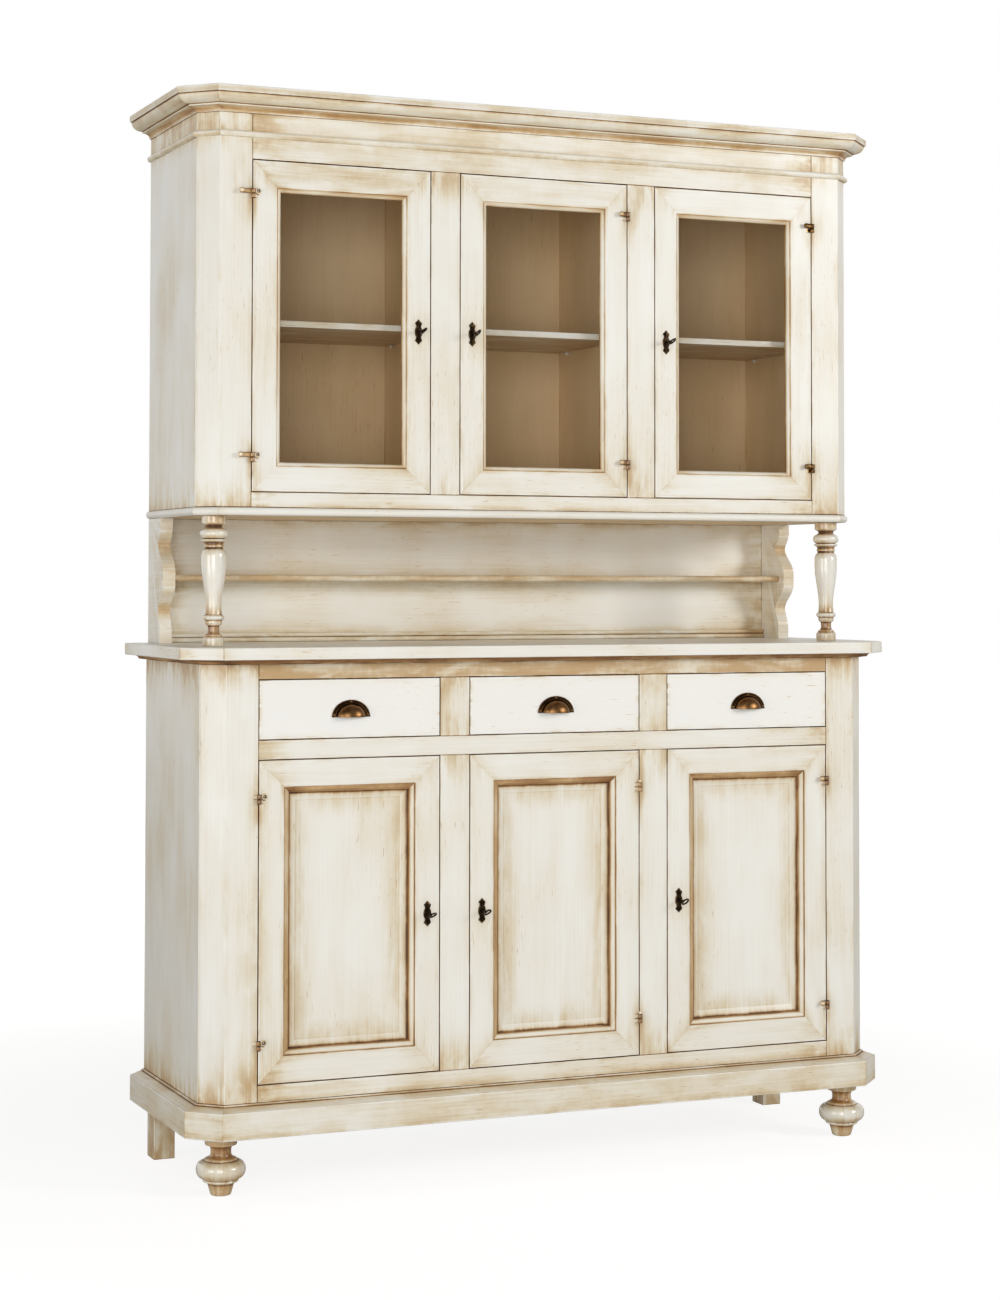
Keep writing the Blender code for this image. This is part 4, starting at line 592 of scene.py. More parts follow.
def corner_distance(section, outline):
    """Distance from each section point to the nearest sharp corner of the outline."""
    outline = np.asarray(outline, float)
    back = outline - np.roll(outline, 1, axis=0)
    ahead = np.roll(outline, -1, axis=0) - outline
    turn = np.abs(np.arctan2(back[:, 0] * ahead[:, 1] - back[:, 1] * ahead[:, 0],
                             (back * ahead).sum(1)))
    sharp = outline[turn > math.radians(25)]
    return np.linalg.norm(section[:, None] - sharp[None], axis=2).min(1)


def stations(length):
    """Distances along a run: close together at both ends, at most ROW apart between."""
    near = np.array([d for d in FROM_END if d < length / 3])
    middle = np.linspace(near[-1], length - near[-1],
                         int((length - 2 * near[-1]) / ROW) + 2)[1:-1]
    return np.concatenate([near, middle, length - near[::-1]])


def across(axis):
    """The two axes other than this one."""
    return [i for i in range(3) if i != axis]


def prism(outline, axis, start, stop, ease=EASE, shade=0.0, end_glaze=True, stain=0.0,
          near=NEAR, face_end=0.03):
    """A board: the eased outline, in the two other axes, carried from start to stop.
    shade and stain say how much hard and soft glaze its section takes."""
    section = divided(eased(outline, ease), near=near)
    closed = np.vstack([section, section[:1]])
    along = start + stations(stop - start)
    points = np.empty((len(along), len(closed), 3))
    points[..., axis] = along[:, None]
    points[..., across(axis)] = closed
    shift = RNG.uniform(0, 50, 2)
    grain = stacked(along[:, None] + shift[0], travelled(closed) + shift[1])
    end = np.minimum(along - start, stop - along)[:, None] if end_glaze else FAR
    edge = corner_distance(closed, outline)
    hollow = share_of(shade, closed)
    if end_glaze:
        hollow = np.maximum(hollow, JOINT * np.clip(1.3 - end / JOINT_WIDTH, 0, 1))
    rub = np.exp(-edge / ARRIS) * (1 - np.minimum(hollow, 1))
    body = patch(points, grain, end, edge, hollow, rub, share_of(stain, closed))
    return [body] + capped(points, across(axis), end=face_end, edge=0.03)


def block(corner, opposite, axis, **options):
    """A rectangular board between two corners, its grain along one axis."""
    low, high = np.sort([corner, opposite], axis=0)
    a, b = across(axis)
    outline = [(low[a], low[b]), (high[a], low[b]), (high[a], high[b]), (low[a], high[b])]
    return prism(outline, axis, low[axis], high[axis], **options)


# %% [markdown]
# ## Base carcass
# The frame of the base is joined up from rails that run across and mullions that stand
# between them. The rail under the drawers runs through, and the mullions butt against it.
# A partition stands behind each mullion.

# %% Base carcass
NECK = OPENING_HALF - SEAT


def board_of(node, axis, material=CASE_PAINT, **options):
    """A board that fills the box of its node."""
    return make_piece(node + "_board", block(*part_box(node), axis, **options), material,
                      replaces=[node])


def rail(front, low, high, **options):
    """A rail of the face frame, between the two corner posts."""
    return block((-NECK, front, low), (NECK, front + FRAME_THICKNESS, high), 0,
                 shade=behind(front, 0), **options)


def mullion(sign, front, low, high):
    """An upright of the face frame, between two bays."""
    return block((sign * MIDDLE_HALF, front, low + SEAT),
                 (sign * END_BAY_IN, front + MULLION_DEPTH, high - SEAT), 2,
                 shade=behind(front))


def partition(sign, front, low, high):
    """The board that stands behind a mullion."""
    at = sign * PARTITION_AT
    return block((at - PARTITION_HALF, front + MULLION_DEPTH + SEAT, low),
                 (at + PARTITION_HALF, BACK_FACE - SEAT, high), 2)


def corner_post(name, node, sign, front, cant, side_thickness, low, high):
    """Canted corner post, its section in x and y, carried up."""
    half = FLAT_HALF + cant
    inner = half - side_thickness
    turn = cant - FRAME_THICKNESS
    outline = [(OPENING_HALF, front), (FLAT_HALF, front), (half, front + cant),
               (inner, front + cant), (inner - turn, front + FRAME_THICKNESS),
               (OPENING_HALF, front + FRAME_THICKNESS)]
    outline = [(sign * x, y) for x, y in outline]
    # Painted shade on the side faces that look into the door's reveal.
    shade = lambda x, y: reveal_shade(y - front) * (np.abs(x) < OPENING_HALF + ARRIS)
    return make_piece(name, prism(outline, 2, low, high, shade=shade), replaces=[node])


for word, sign in SIDES:
    board_of("base_side_" + word, 2, SIDE_PAINT)
    board_of("foot_rear_" + word, 2, SIDE_PAINT, stain=0.26)
# The top rail under the counter takes soft darkening all over: glaze, and painted shade under
# the overhang.
board_of("base_top_rail", 0, shade=behind(FRONT, 0), stain=0.42)
board_of("base_back", 2, PINE)
for word, sign in SIDES:
    corner_post("base_corner_post_" + word, "base_corner_" + word, sign, FRONT, BASE_CANT,
                BASE_SIDE, Z_PLINTH_TOP + SEAT, Z_BASE_TOP)
    make_piece("base_mullions_" + word,
               mullion(sign, FRONT, Z_LOWER_DOOR, Z_DRAWER_RAIL)
               + mullion(sign, FRONT, Z_DRAWER, Z_TOP_RAIL),
               replaces=["base_divider_" + word])
    make_piece("base_partition_" + word,
               partition(sign, FRONT, Z_BASE_FLOOR + SEAT, Z_BASE_TOP), PINE)
make_piece("drawer_rail_board", rail(FRONT, Z_DRAWER_RAIL, Z_DRAWER),
           replaces=["drawer_rail"])
print("base carcass boards made")

# %% [markdown]
# Behind the rail under the drawers lie three dust boards, each with two guides that keep
# a drawer straight. The floor of the base lies behind the bottom rail.

# %% Dust boards and base floor
DUST_TOP = Z_DRAWER + REVEAL - SEAT
DUST_THICKNESS = 0.012
GUIDE_WIDTH = 0.012
GUIDE_HEIGHT = 0.014
TRAY_HALF = MIDDLE_HALF - REVEAL - 0.004
FLOOR_FRONT = FRONT + BASE_CANT + SEAT
WALL_IN = BASE_HALF - BASE_SIDE - SEAT
BY_PARTITION = (PARTITION_AT - PARTITION_HALF - SEAT, PARTITION_AT + PARTITION_HALF + SEAT)
LIMITS = ((-WALL_IN, -BY_PARTITION[1]), (-BY_PARTITION[0], BY_PARTITION[0]),
          (BY_PARTITION[1], WALL_IN))
for word, centre, (x0, x1) in zip(BAYS, BAY_CENTRES, LIMITS):
    boards = block((x0, FLOOR_FRONT, DUST_TOP - DUST_THICKNESS),
                   (x1, BACK_FACE - SEAT, DUST_TOP), 0)
    for sign in (-1, 1):
        near = centre + sign * (TRAY_HALF + 0.0008)
        far = min(max(near + sign * GUIDE_WIDTH, x0), x1)
        boards += block((near, FLOOR_FRONT + 0.005, DUST_TOP + TOUCH),
                        (far, BACK_FACE - 0.005, DUST_TOP + GUIDE_HEIGHT), 1)
    make_piece("dust_board_" + word, boards, PINE)
make_piece("base_bottom_rail", rail(FRONT, Z_PLINTH_TOP + SEAT, Z_LOWER_DOOR),
           replaces=["base_floor"])
make_piece("base_floor_board",
           block((-WALL_IN, FLOOR_FRONT, Z_PLINTH_TOP + SEAT),
                 (WALL_IN, BACK_FACE - SEAT, Z_BASE_FLOOR), 0), PINE)
print("dust boards", DUST_TOP, "base floor", Z_BASE_FLOOR)

# %% [markdown]
# ## Mouldings
# Plinth, counter, astragal and crown run round the front and both ends, and are mitred
# where the case turns. Moving a face outwards by some distance moves the mitre along by
# that distance times the tangent of half the turn, so one function gives the plan at any
# distance and the profile is carried along it.

# %% Mouldings
def case_plan(out, cant, front, back=BACK):
    """Six plan corners of a canted case for each distance in `out`: shape (n, 6, 2)."""
    out = np.asarray(out, float)
    mitre = out * math.tan(math.pi / 8)
    half = FLAT_HALF + cant + out
    flat = FLAT_HALF + mitre
    y_cant = front + cant - mitre
    return np.stack([stacked(x, y) for x, y in (
        (-half, back), (-half, y_cant), (-flat, front - out), (flat, front - out),
        (half, y_cant), (half, back))], axis=1)


def carried(corners, hollow, rub, edge=FAR, closed_path=False, planar=None, mitre=None,
            joint=0.0, stain=0.0):
    """A profile carried along a path of straight runs. corners has shape (profile points,
    path corners, 3); each run is a grid from one mitre to the next. planar is (columns,
    u axis, v axis): columns whose map is two coordinates. A mitre takes as much glaze as
    a board does at the distance `mitre` from its end, and `joint` in its line. hollow and
    rub may have one row for each run."""
    patches = []
    count = corners.shape[1]
    around = travelled(corners[:, 2])
    for run in range(count if closed_path else count - 1):
        start, stop = corners[:, run], corners[:, (run + 1) % count]
        length = np.linalg.norm(stop - start, axis=1)
        share = (stations(length.mean()) / length.mean())[:, None]
        points = start + share[..., None] * (stop - start)
        shift = RNG.uniform(0, 50, 2)
        grain = stacked((share - 0.5) * length + shift[0], around + shift[1])
        if planar is not None:
            columns, u, v = planar
            grain[:, columns] = points[:, columns][..., [u, v]]
        filled = hollow[run] if np.ndim(hollow) == 2 else hollow
        worn = rub[run] if np.ndim(rub) == 2 else rub
        end = FAR
        if mitre is not None:
            end = np.minimum(share, 1 - share) * length
            filled = np.maximum(filled, joint * np.clip(1 - end / JOINT_WIDTH, 0, 1))
            end = end + mitre
        patches.append(patch(points, grain, end, edge, filled, worn, stain))
    return patches


def plan_corners(profile, cant, front):
    """Path corners in space of (out, z) profile points."""
    plan = case_plan(profile[:, 0], cant, front)
    height = np.broadcast_to(profile[:, 1, None, None], plan.shape[:2] + (1,))
    return np.concatenate([plan, height], axis=2)


def grids(patches, columns):
    """The points of each patch as rows of profile columns."""
    return [p["points"].reshape(-1, columns, 3) for p in patches]


def moulding_ring(profile, cant, front, filled, stain=0.0, fine=0.003):
    """A closed (out, z) section carried round the case and cut off square at the back.
    filled and stain say how much more glaze it takes, hard and soft."""
    section = divided(profile)
    closed = np.vstack([section, section[:1]])
    hollow, rub = (np.append(v, v[0]) for v in glaze_and_rub(section, True, fine))
    patches = carried(plan_corners(closed, cant, front),
                      np.maximum(hollow, share_of(filled, closed)), rub, mitre=0.045,
                      joint=0.12, stain=share_of(stain, closed))
    runs = grids(patches, len(closed))
    return patches + [cap(rim, (0, 2)) for rim in (runs[0][0, :-1], runs[-1][-1, :-1])]


def moulding_slab(section, cant, front, flat_from, filled):
    """A solid member with a moulded edge: an open (out, z) profile round the case, flat
    faces above and below, and a flat back. From column flat_from on it is the top."""
    hollow, rub = glaze_and_rub(section, False)
    hollow = np.maximum(hollow, share_of(filled, section))
    top_columns = np.arange(len(section)) >= flat_from
    edge = np.where(top_columns, np.abs(section[:, 0] - section[flat_from, 0]), FAR)
    patches = carried(plan_corners(section, cant, front), hollow, rub, edge,
                      planar=(top_columns, 0, 1), mitre=0.030, joint=0.45)
    runs = grids(patches, len(section))
    bottom, top = (np.concatenate([runs[0][:, column]] + [run[1:, column] for run in runs[1:]])
                   for column in (0, -1))
    top_cap = cap(top, (0, 1))
    top_cap["grain"] = top[:, :2].copy()
    return patches + [cap(bottom, (0, 1)), top_cap,
                      cap(np.concatenate([runs[0][0], runs[-1][-1][::-1]]), (0, 2))]


# %% [markdown]
# ### Plinth
# The plinth is a mitred ring on the feet. Its top is bevelled, with a small lip against
# the case where the glaze gathers.

# %% Plinth
PLINTH_OUT = 0.0285
PLINTH_WALL = 0.030
Z_FOOT = low_z("plinth")
Z_BEVEL = Z_PLINTH_TOP - 0.0115
face = [(PLINTH_OUT - 0.001, Z_FOOT), (PLINTH_OUT, Z_FOOT + 0.001),
        (PLINTH_OUT, Z_BEVEL), (PLINTH_OUT - 0.0004, Z_BEVEL + 0.0008),
        (PLINTH_OUT - 0.0014, Z_BEVEL + 0.0012), (PLINTH_OUT - 0.0020, Z_BEVEL + 0.0008),
        (PLINTH_OUT - 0.0026, Z_BEVEL + 0.0014), (0.0072, Z_PLINTH_TOP - 0.0036),
        (0.0058, Z_PLINTH_TOP - 0.0036), (0.0050, Z_PLINTH_TOP - 0.0030),
        (0.0046, Z_PLINTH_TOP - 0.0020), (0.0044, Z_PLINTH_TOP - 0.0006),
        (0.0036, Z_PLINTH_TOP), (0.0012, Z_PLINTH_TOP), (0.0, Z_PLINTH_TOP)]
ring = face + [(-PLINTH_WALL, Z_PLINTH_TOP), (-PLINTH_WALL, Z_FOOT)]


def plinth_lines(out, z):
    """Glaze lines against the case, under the lip, and at the lower end of the bevel."""
    against_case = 0.75 * ((out < 0.0010) & (z > Z_PLINTH_TOP - 0.001))
    under_lip = 0.62 * ((out > 0.0047) & (out < 0.0065) & (z > Z_BEVEL + 0.004))
    groove = 0.80 * (np.abs(out - PLINTH_OUT + 0.0020) < 0.0004) * (z > Z_BEVEL)
    return np.maximum(np.maximum(against_case, under_lip), groove)


def plinth_stain(out, z):
    """Soft glaze on the upper part of the bevel and along the lower edge."""
    bevel = np.interp(out, (0.006, 0.012, 0.026), (0.38, 0.22, 0.12)) * (z > Z_BEVEL + 0.001)
    foot = np.interp(z, (Z_FOOT + 0.001, Z_FOOT + 0.016), (0.28, 0.13)) * (out > 0.02)
    return np.maximum(bevel, foot)


plinth = moulding_ring(ring, BASE_CANT, FRONT, plinth_lines, plinth_stain)
rear_in = BASE_HALF - PLINTH_WALL - SEAT
plinth += block((-rear_in, BACK - PLINTH_WALL, Z_FOOT), (rear_in, BACK, Z_PLINTH_TOP), 0)
make_piece("plinth_ring", plinth, replaces=["plinth"])
print("plinth from", round(Z_FOOT, 4), "to", round(Z_PLINTH_TOP, 4))

# %% [markdown]
# ### Counter
# The counter is one thick board with a soft edge over a small cove moulding. Its top is
# planed flat and its grain runs from end to end.

# %% Counter
OVER = 0.0445
Z_SLAB = Z_BASE_TOP + 0.009
edge_curve = np.vstack([
    [(0.0155, Z_BASE_TOP + SEAT), (0.0155, Z_BASE_TOP + 0.0014)],
    arc((0.0300, Z_BASE_TOP + 0.0016), (0.0135, 0.0064), 180, 90, 6),
    [(0.0300, Z_SLAB), (OVER - 0.0022, Z_SLAB)],
    arc((OVER - 0.0018, Z_SLAB + 0.0018), (0.0018, 0.0018), -75, 0, 3),
    arc((OVER - 0.0024, Z_COUNTER - 0.0024), (0.0024, 0.0024), 0, 90, 4),
    [(OVER - 0.0030, Z_COUNTER), (OVER - 0.006, Z_COUNTER), (OVER - 0.015, Z_COUNTER),
     (OVER - 0.040, Z_COUNTER)]])
edge_curve = divided(edge_curve, closed=False, near=(0.0014, 0.004))
flat_from = int(np.argmax(edge_curve[:, 1] >= Z_COUNTER - 1e-6))
# Below the slab the cove and underside are darkened: glaze in the cove, and painted shade
# under the overhang.
counter = moulding_slab(edge_curve, BASE_CANT, FRONT, flat_from,
                        lambda out, z: 0.66 * (z < Z_SLAB + 0.0002))
make_piece("counter_board", counter, replaces=["counter_top"])
print("counter", len(edge_curve), "profile points, top from column", flat_from)

# %% [markdown]
# ### Hutch floor
# The floor of the hutch shows a half-round edge under the doors. It is a mitred nosing
# round a plain board, with the bottom rail of the doors standing on it.

# %% Hutch floor
NOSE_OUT = 0.0055
NOSE_HALF = FLOOR_THICKNESS / 2
NOSE_WALL = 0.025


def nose_lines(out, z):
    """Glaze where the nosing meets the case, more above than below."""
    above = 0.60 * ((out < 0) & (z > Z_HUTCH + NOSE_HALF))
    return above + 0.45 * ((out < -0.001) & (z < Z_HUTCH + NOSE_HALF))


def plan_board(wall, front, cant, back, low, high):
    """A flat board that fills the case's plan, from its front, `wall` inside the face."""
    plan = case_plan([-wall], cant, front, back)[0]
    return prism(plan, 2, low, high, ease=0.0, end_glaze=False)


nose = np.vstack([arc((NOSE_OUT - NOSE_HALF, Z_HUTCH + NOSE_HALF), (NOSE_HALF, NOSE_HALF),
                      -90, 90, 12),
                  [(-NOSE_WALL, Z_HUTCH_FLOOR), (-NOSE_WALL, Z_HUTCH)]])
make_piece("hutch_floor_nosing", moulding_ring(nose, HUTCH_CANT, HUTCH_FRONT, nose_lines),
           replaces=["hutch_floor"])
make_piece("hutch_floor_board",
           plan_board(NOSE_WALL + SEAT, HUTCH_FRONT, HUTCH_CANT, BACK_FACE - SEAT,
                      Z_HUTCH + TOUCH, Z_HUTCH_FLOOR), INSIDE_PAINT)
make_piece("hutch_bottom_rail", rail(HUTCH_FRONT, Z_HUTCH_FLOOR + TOUCH, Z_GLAZED))
print("hutch floor at", round(Z_HUTCH_FLOOR, 4))

# %% [markdown]
# ### Frieze and crown
# Above the doors a flat board carries an astragal, a half-round bead that runs on round
# the corners. The crown is a fillet, an ovolo, a step and a cavetto, from the top down.

# %% Frieze and crown
BEAD_HALF = 0.00625
CROWN_OUT = 0.0445
CROWN_WALL = 0.014
Z_FILLET = Z_TOTAL - 0.013
make_piece("hutch_frieze_board",
           rail(HUTCH_FRONT, Z_FRIEZE, Z_CROWN - SEAT,
                stain=lambda y, z: 0.10 + 0.16 * np.exp(-np.abs(z - Z_BEAD) / 0.010)),
           replaces=["hutch_frieze"])
bead = np.vstack([[(SEAT, Z_BEAD - BEAD_HALF), (0.0012, Z_BEAD - BEAD_HALF)],
                  arc((0.0012, Z_BEAD), (0.0063, BEAD_HALF), -80, 80, 10),
                  [(0.0012, Z_BEAD + BEAD_HALF), (SEAT, Z_BEAD + BEAD_HALF)]])
# The lower half of the bead takes more soft darkening than the upper: painted shade under its
# round.
make_piece("hutch_astragal",
           moulding_ring(bead, HUTCH_CANT, HUTCH_FRONT, lambda out, z: 0.75 * (out < 0.0016),
                         lambda out, z: 0.12 + 0.14 * (z < Z_BEAD), fine=0.002))
crown = np.vstack([
    [(0.003, Z_CROWN)],
    arc((0.0165, Z_CROWN + 0.002), (0.0135, 0.009), 180, 90, 8),
    [(0.018, Z_CROWN + 0.011), (0.018, Z_CROWN + 0.0145)],
    arc((0.020, Z_FILLET), (0.021, 0.0175), -90, 0, 12),
    [(CROWN_OUT - 0.0008, Z_FILLET), (CROWN_OUT, Z_FILLET + 0.0008),
     (CROWN_OUT, Z_TOTAL - 0.001), (CROWN_OUT - 0.001, Z_TOTAL), (-CROWN_WALL, Z_TOTAL),
     (-CROWN_WALL, Z_CROWN)]])


def crown_stain(out, z):
    """Soft glaze, most of it on the ovolo under the top fillet."""
    return np.interp(z, (Z_CROWN, Z_TOTAL - 0.02, Z_TOTAL - 0.012, Z_TOTAL),
                     (0.18, 0.20, 0.26, 0.18))


crown_ring = moulding_ring(crown, HUTCH_CANT, HUTCH_FRONT,
                           lambda out, z: 0.22 * (out < 0.0045), crown_stain)
tray_half = HUTCH_HALF - CROWN_WALL - SEAT
crown_ring += block((-tray_half, BACK - CROWN_WALL, Z_CROWN + SEAT),
                    (tray_half, BACK, Z_TOTAL), 0)
make_piece("crown_moulding", crown_ring, replaces=["cornice"])
make_piece("hutch_top_board",
           plan_board(CROWN_WALL + SEAT, HUTCH_FRONT, HUTCH_CANT, BACK - CROWN_WALL - SEAT,
                      Z_CROWN + TOUCH, Z_CROWN + 0.012), PINE)
print("frieze, astragal and crown made")

# %% [markdown]
# ## Turned feet and posts
# A turner cuts beads, hollows and fillets against a spinning blank. The outline is a list
# of radius and height with arcs for the round members, and it is carried round the axis.
# Its grain runs up, so the map is height and arc length.

# %% Turned pieces
TURNS = 64


def smooth_run(start, end, z0, z1, steps):
    """An S-curve between two radii: the share 3t^2 - 2t^3 of the difference."""
    t = np.linspace(0, 1, steps + 1)
    return stacked(start + (end - start) * t * t * (3 - 2 * t), z0 + (z1 - z0) * t)


def spun(radius, along, axis, centre, turns, begin=0.0):
    """A surface of revolution: centre + radius cos a and centre + radius sin a in the two
    other axes, for a once round from `begin`. The axis carries `along`."""
    a = begin + np.linspace(0, math.tau, turns + 1)[:, None]
    points = np.empty((turns + 1, len(radius), 3))
    points[..., axis] = along
    points[..., across(axis)] = stacked(centre[0] + radius * np.cos(a),
                                        centre[1] + radius * np.sin(a))
    return points


def spun_caps(points, axes):
    """Caps on both ends of a surface of revolution."""
    return capped(points.swapaxes(0, 1), axes)


def turned(profile, centre, soft):
    """Turn (radius, height) points round a vertical axis, from the rear round to the rear.
    soft lists (height, share of soft glaze)."""
    section = divided(profile, closed=False, near=(0.0012,))
    hollow, rub = glaze_and_rub(section, False, 0.0026, 0.009)
    radius, height = section.T
    points = spun(radius, height, 2, centre, TURNS, math.pi / 2)
    shift = RNG.uniform(0, 50, 2)
    around = np.linspace(0, math.tau, TURNS + 1)[:, None] * radius.max()
    grain = stacked(height + shift[0], around + math.pi / 2 * radius.max() + shift[1])
    stain = 0.85 * np.interp(height, *np.array(soft).T)
    return [patch(points, grain, hollow=0.95 * hollow, rub=0.6 * rub, stain=stain),
            *spun_caps(points, (0, 1))]


def foot_profile():
    """Bun foot from the floor up: toe, ring, ball, collar, neck and disc."""
    top = Z_FOOT - SEAT
    return np.vstack([
        [(0.017, 0.0), (0.0188, 0.0008), (0.020, 0.003), (0.0245, 0.019)],
        arc((0.0295, 0.0185), (0.005, 0.005), 170, 110, 4),
        [(0.031, 0.025)], arc((0.031, 0.028), (0.003, 0.003), -70, 40, 5),
        [(0.0325, 0.0315)],
        arc((0.034, 0.048), (0.013, 0.0165), -82, 84, 18),
        [(0.0318, 0.0648), (0.031, 0.0658)],
        [(0.031, 0.0675), (0.0300, 0.0685)],
        arc((0.0285, 0.0790), (0.009, 0.0095), 265, 180, 8),
        [(0.0195, top - 0.027)],
        arc((0.0275, top - 0.027), (0.008, 0.0085), 180, 100, 8),
        [(0.0295, top - 0.0175), (0.0305, top - 0.0155), (0.0305, top - 0.001),
         (0.0297, top)]])


def post_profile(low, high):
    """Post from the counter up: base, throat, bead, taper, vase, collar, ball and block."""
    ball = high - 0.0345
    return np.vstack([
        [(0.0200, low), (0.0208, low + 0.001), (0.0208, low + 0.0140)],
        arc((0.0185, low + 0.0142), (0.0023, 0.0023), 0, 80, 3),
        [(0.0173, low + 0.0185), (0.0168, low + 0.0212)],
        arc((0.0168, low + 0.0295), (0.006, 0.0080), 260, 185, 6),
        arc((0.0155, low + 0.0365), (0.0047, 0.0038), 165, 100, 4),
        [(0.0163, low + 0.0445), (0.0163, low + 0.0478)],
        arc((0.0155, low + 0.0545), (0.0052, 0.0050), -80, 80, 10),
        [(0.0163, low + 0.0612), (0.0158, low + 0.064), (0.0153, low + 0.070)],
        smooth_run(0.0153, 0.0240, low + 0.076, high - 0.090, 14),
        arc((0.0160, high - 0.0790), (0.0080, 0.0155), 0, 78, 9),
        [(0.0173, high - 0.0612), (0.0193, high - 0.0600), (0.0193, high - 0.0566),
         (0.0182, high - 0.0548), (0.0186, high - 0.0518)],
        arc((0.0228, high - 0.0470), (0.0022, 0.0018), -90, 90, 6),
        arc((0.0173, ball), (0.0100, 0.0098), -78, 78, 14),
        arc((0.0220, high - 0.0205), (0.0062, 0.0042), 215, 145, 6),
        [(0.0225, high - 0.0150), (0.0235, high - 0.0138), (0.0235, high - 0.001),
         (0.0227, high)]])


FOOT_SOFT = ((0.0, 0.62), (0.017, 0.46), (0.0215, 0.64), (0.0255, 0.28), (0.031, 0.34),
             (0.036, 0.50), (0.043, 0.20), (0.048, 0.10), (0.056, 0.14), (0.062, 0.34),
             (0.066, 0.26), (0.070, 0.62), (0.082, 0.36), (0.088, 0.40), (0.0975, 0.64),
             (0.104, 0.40), (0.112, 0.50))
POST_SOFT = ((0.0, 0.36), (0.014, 0.20), (0.020, 0.58), (0.034, 0.60), (0.042, 0.40),
             (0.0545, 0.12), (0.064, 0.50), (0.080, 0.20), (0.110, 0.10), (0.150, 0.08),
             (0.172, 0.12), (0.186, 0.34), (0.1905, 0.62), (0.200, 0.52), (0.2025, 0.25),
             (0.209, 0.40), (0.215, 0.10), (0.222, 0.18), (0.229, 0.66), (0.236, 0.44),
             (0.2494, 0.50))
for word, sign in SIDES:
    make_piece("bun_foot_" + word,
               turned(foot_profile(), (sign * (BASE_HALF - 0.046), FRONT + 0.040), FOOT_SOFT),
               TURNED_PAINT, replaces=["foot_front_" + word])
    low = Z_COUNTER + SEAT
    make_piece("turned_post_" + word,
               turned(post_profile(low, Z_HUTCH - SEAT),
                      (sign * (HUTCH_HALF - 0.041), HUTCH_FRONT + 0.046),
                      [(low + z, share) for z, share in POST_SOFT]),
               TURNED_PAINT, replaces=["niche_post_" + word])
print("turned pieces made")

# %% [markdown]
# ## Niche
# The open niche has two sawn cheeks, a narrow plate rail and a skirting of two beads. A
# cheek is a board cut with a bow saw: its outline is straight blocks joined by S-curves.

# %% Niche
def cheek_outline(low, high):
    """Sawn front edge as (depth from the rear, z), closed along the rear."""
    middle = (low + high) / 2 + 0.0055
    top, foot = high - 0.025, low + 0.031
    mid_top, mid_foot = middle + 0.0185, middle - 0.0185
    edge = np.vstack([[(0.086, low), (0.086, foot)],
                      smooth_run(0.0835, 0.072, foot, foot + 0.035, 10),
                      smooth_run(0.072, 0.1075, foot + 0.035, mid_foot, 14)[1:],
                      [(0.110, mid_foot), (0.110, mid_top)],
                      smooth_run(0.1075, 0.072, mid_top, top - 0.029, 14),
                      smooth_run(0.072, 0.0875, top - 0.029, top, 10)[1:],
                      [(0.090, top), (0.090, high)]])
    outline = np.stack([BACK - edge[:, 0], edge[:, 1]], -1)
    return np.vstack([[(BACK, low)], outline, [(BACK, high)]])


def sawn_glaze(y, z):
    """Glaze in the hollows of the sawn edge, from the way the outline bends."""
    hollow = hollow_and_rub(np.stack([y, z], -1)[:-1], True, 0.012)[0]
    return 0.5 * np.append(hollow, hollow[0])


for word, sign in SIDES:
    cheek = prism(cheek_outline(Z_COUNTER + SEAT, Z_HUTCH - SEAT), 0,
                  *sorted((sign * (HUTCH_HALF - HUTCH_SIDE), sign * HUTCH_HALF)), ease=0.0,
                  shade=sawn_glaze, end_glaze=False, face_end=0.06,
                  stain=lambda y, z: 0.16 * (y < BACK - 0.05))
    make_piece("sawn_cheek_" + word, cheek, replaces=["niche_cheek_" + word])

low, high = (np.array(corner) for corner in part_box("plate_rail"))
radius = (high[2] - low[2]) / 2
nosed = np.vstack([[(high[1], high[2]), (high[1], low[2])],
                   arc((low[1] + radius, low[2] + radius), (-radius, radius), -90, 90, 12)])
make_piece("plate_rail_board",
           prism(nosed, 0, low[0], high[0], ease=0.0,
                 stain=lambda y, z: 0.34 * (y < low[1] + 0.012)), replaces=["plate_rail"])
NICHE_HALF = HUTCH_HALF - HUTCH_SIDE - SEAT
BEADS_OUT = BACK_FACE - 0.0062
skirt = np.vstack([[(BACK_FACE - SEAT, Z_COUNTER + SEAT),
                    (BACK_FACE - 0.0095, Z_COUNTER + SEAT)],
                   arc((BEADS_OUT, Z_COUNTER + 0.0050), (-0.0048, 0.0048), -80, 82, 10),
                   arc((BEADS_OUT, Z_COUNTER + 0.0145), (-0.0038, 0.0042), -82, 80, 10),
                   [(BACK_FACE - SEAT, Z_COUNTER + 0.0192)]])
bead_glaze = hollow_and_rub(divided(skirt), True, 0.002)[0]
make_piece("niche_skirting",
           prism(skirt, 0, -NICHE_HALF, NICHE_HALF, ease=0.0, stain=0.18,
                 shade=lambda y, z: np.append(bead_glaze, bead_glaze[0])))


def niche_glaze(y, z):
    """Glaze above the skirting, on both sides of the plate rail and under the hutch."""
    return sum(share * np.exp(-np.abs(z - height) / reach) for height, share, reach in (
        (Z_COUNTER + 0.019, 0.24, 0.010), (low[2], 0.16, 0.010), (high[2], 0.16, 0.012),
        (Z_HUTCH, 0.24, 0.016)))


niche_back = block((-NICHE_HALF, BACK_FACE, Z_COUNTER + SEAT),
                   (NICHE_HALF, BACK, Z_HUTCH - TOUCH), 0, stain=niche_glaze,
                   near=(0.0014, 0.008, 0.019, 0.027, 0.040, 0.060, 0.080, 0.100, 0.112,
                         0.120))
make_piece("niche_back_board", niche_back, replaces=["hutch_back"])
print("niche made")

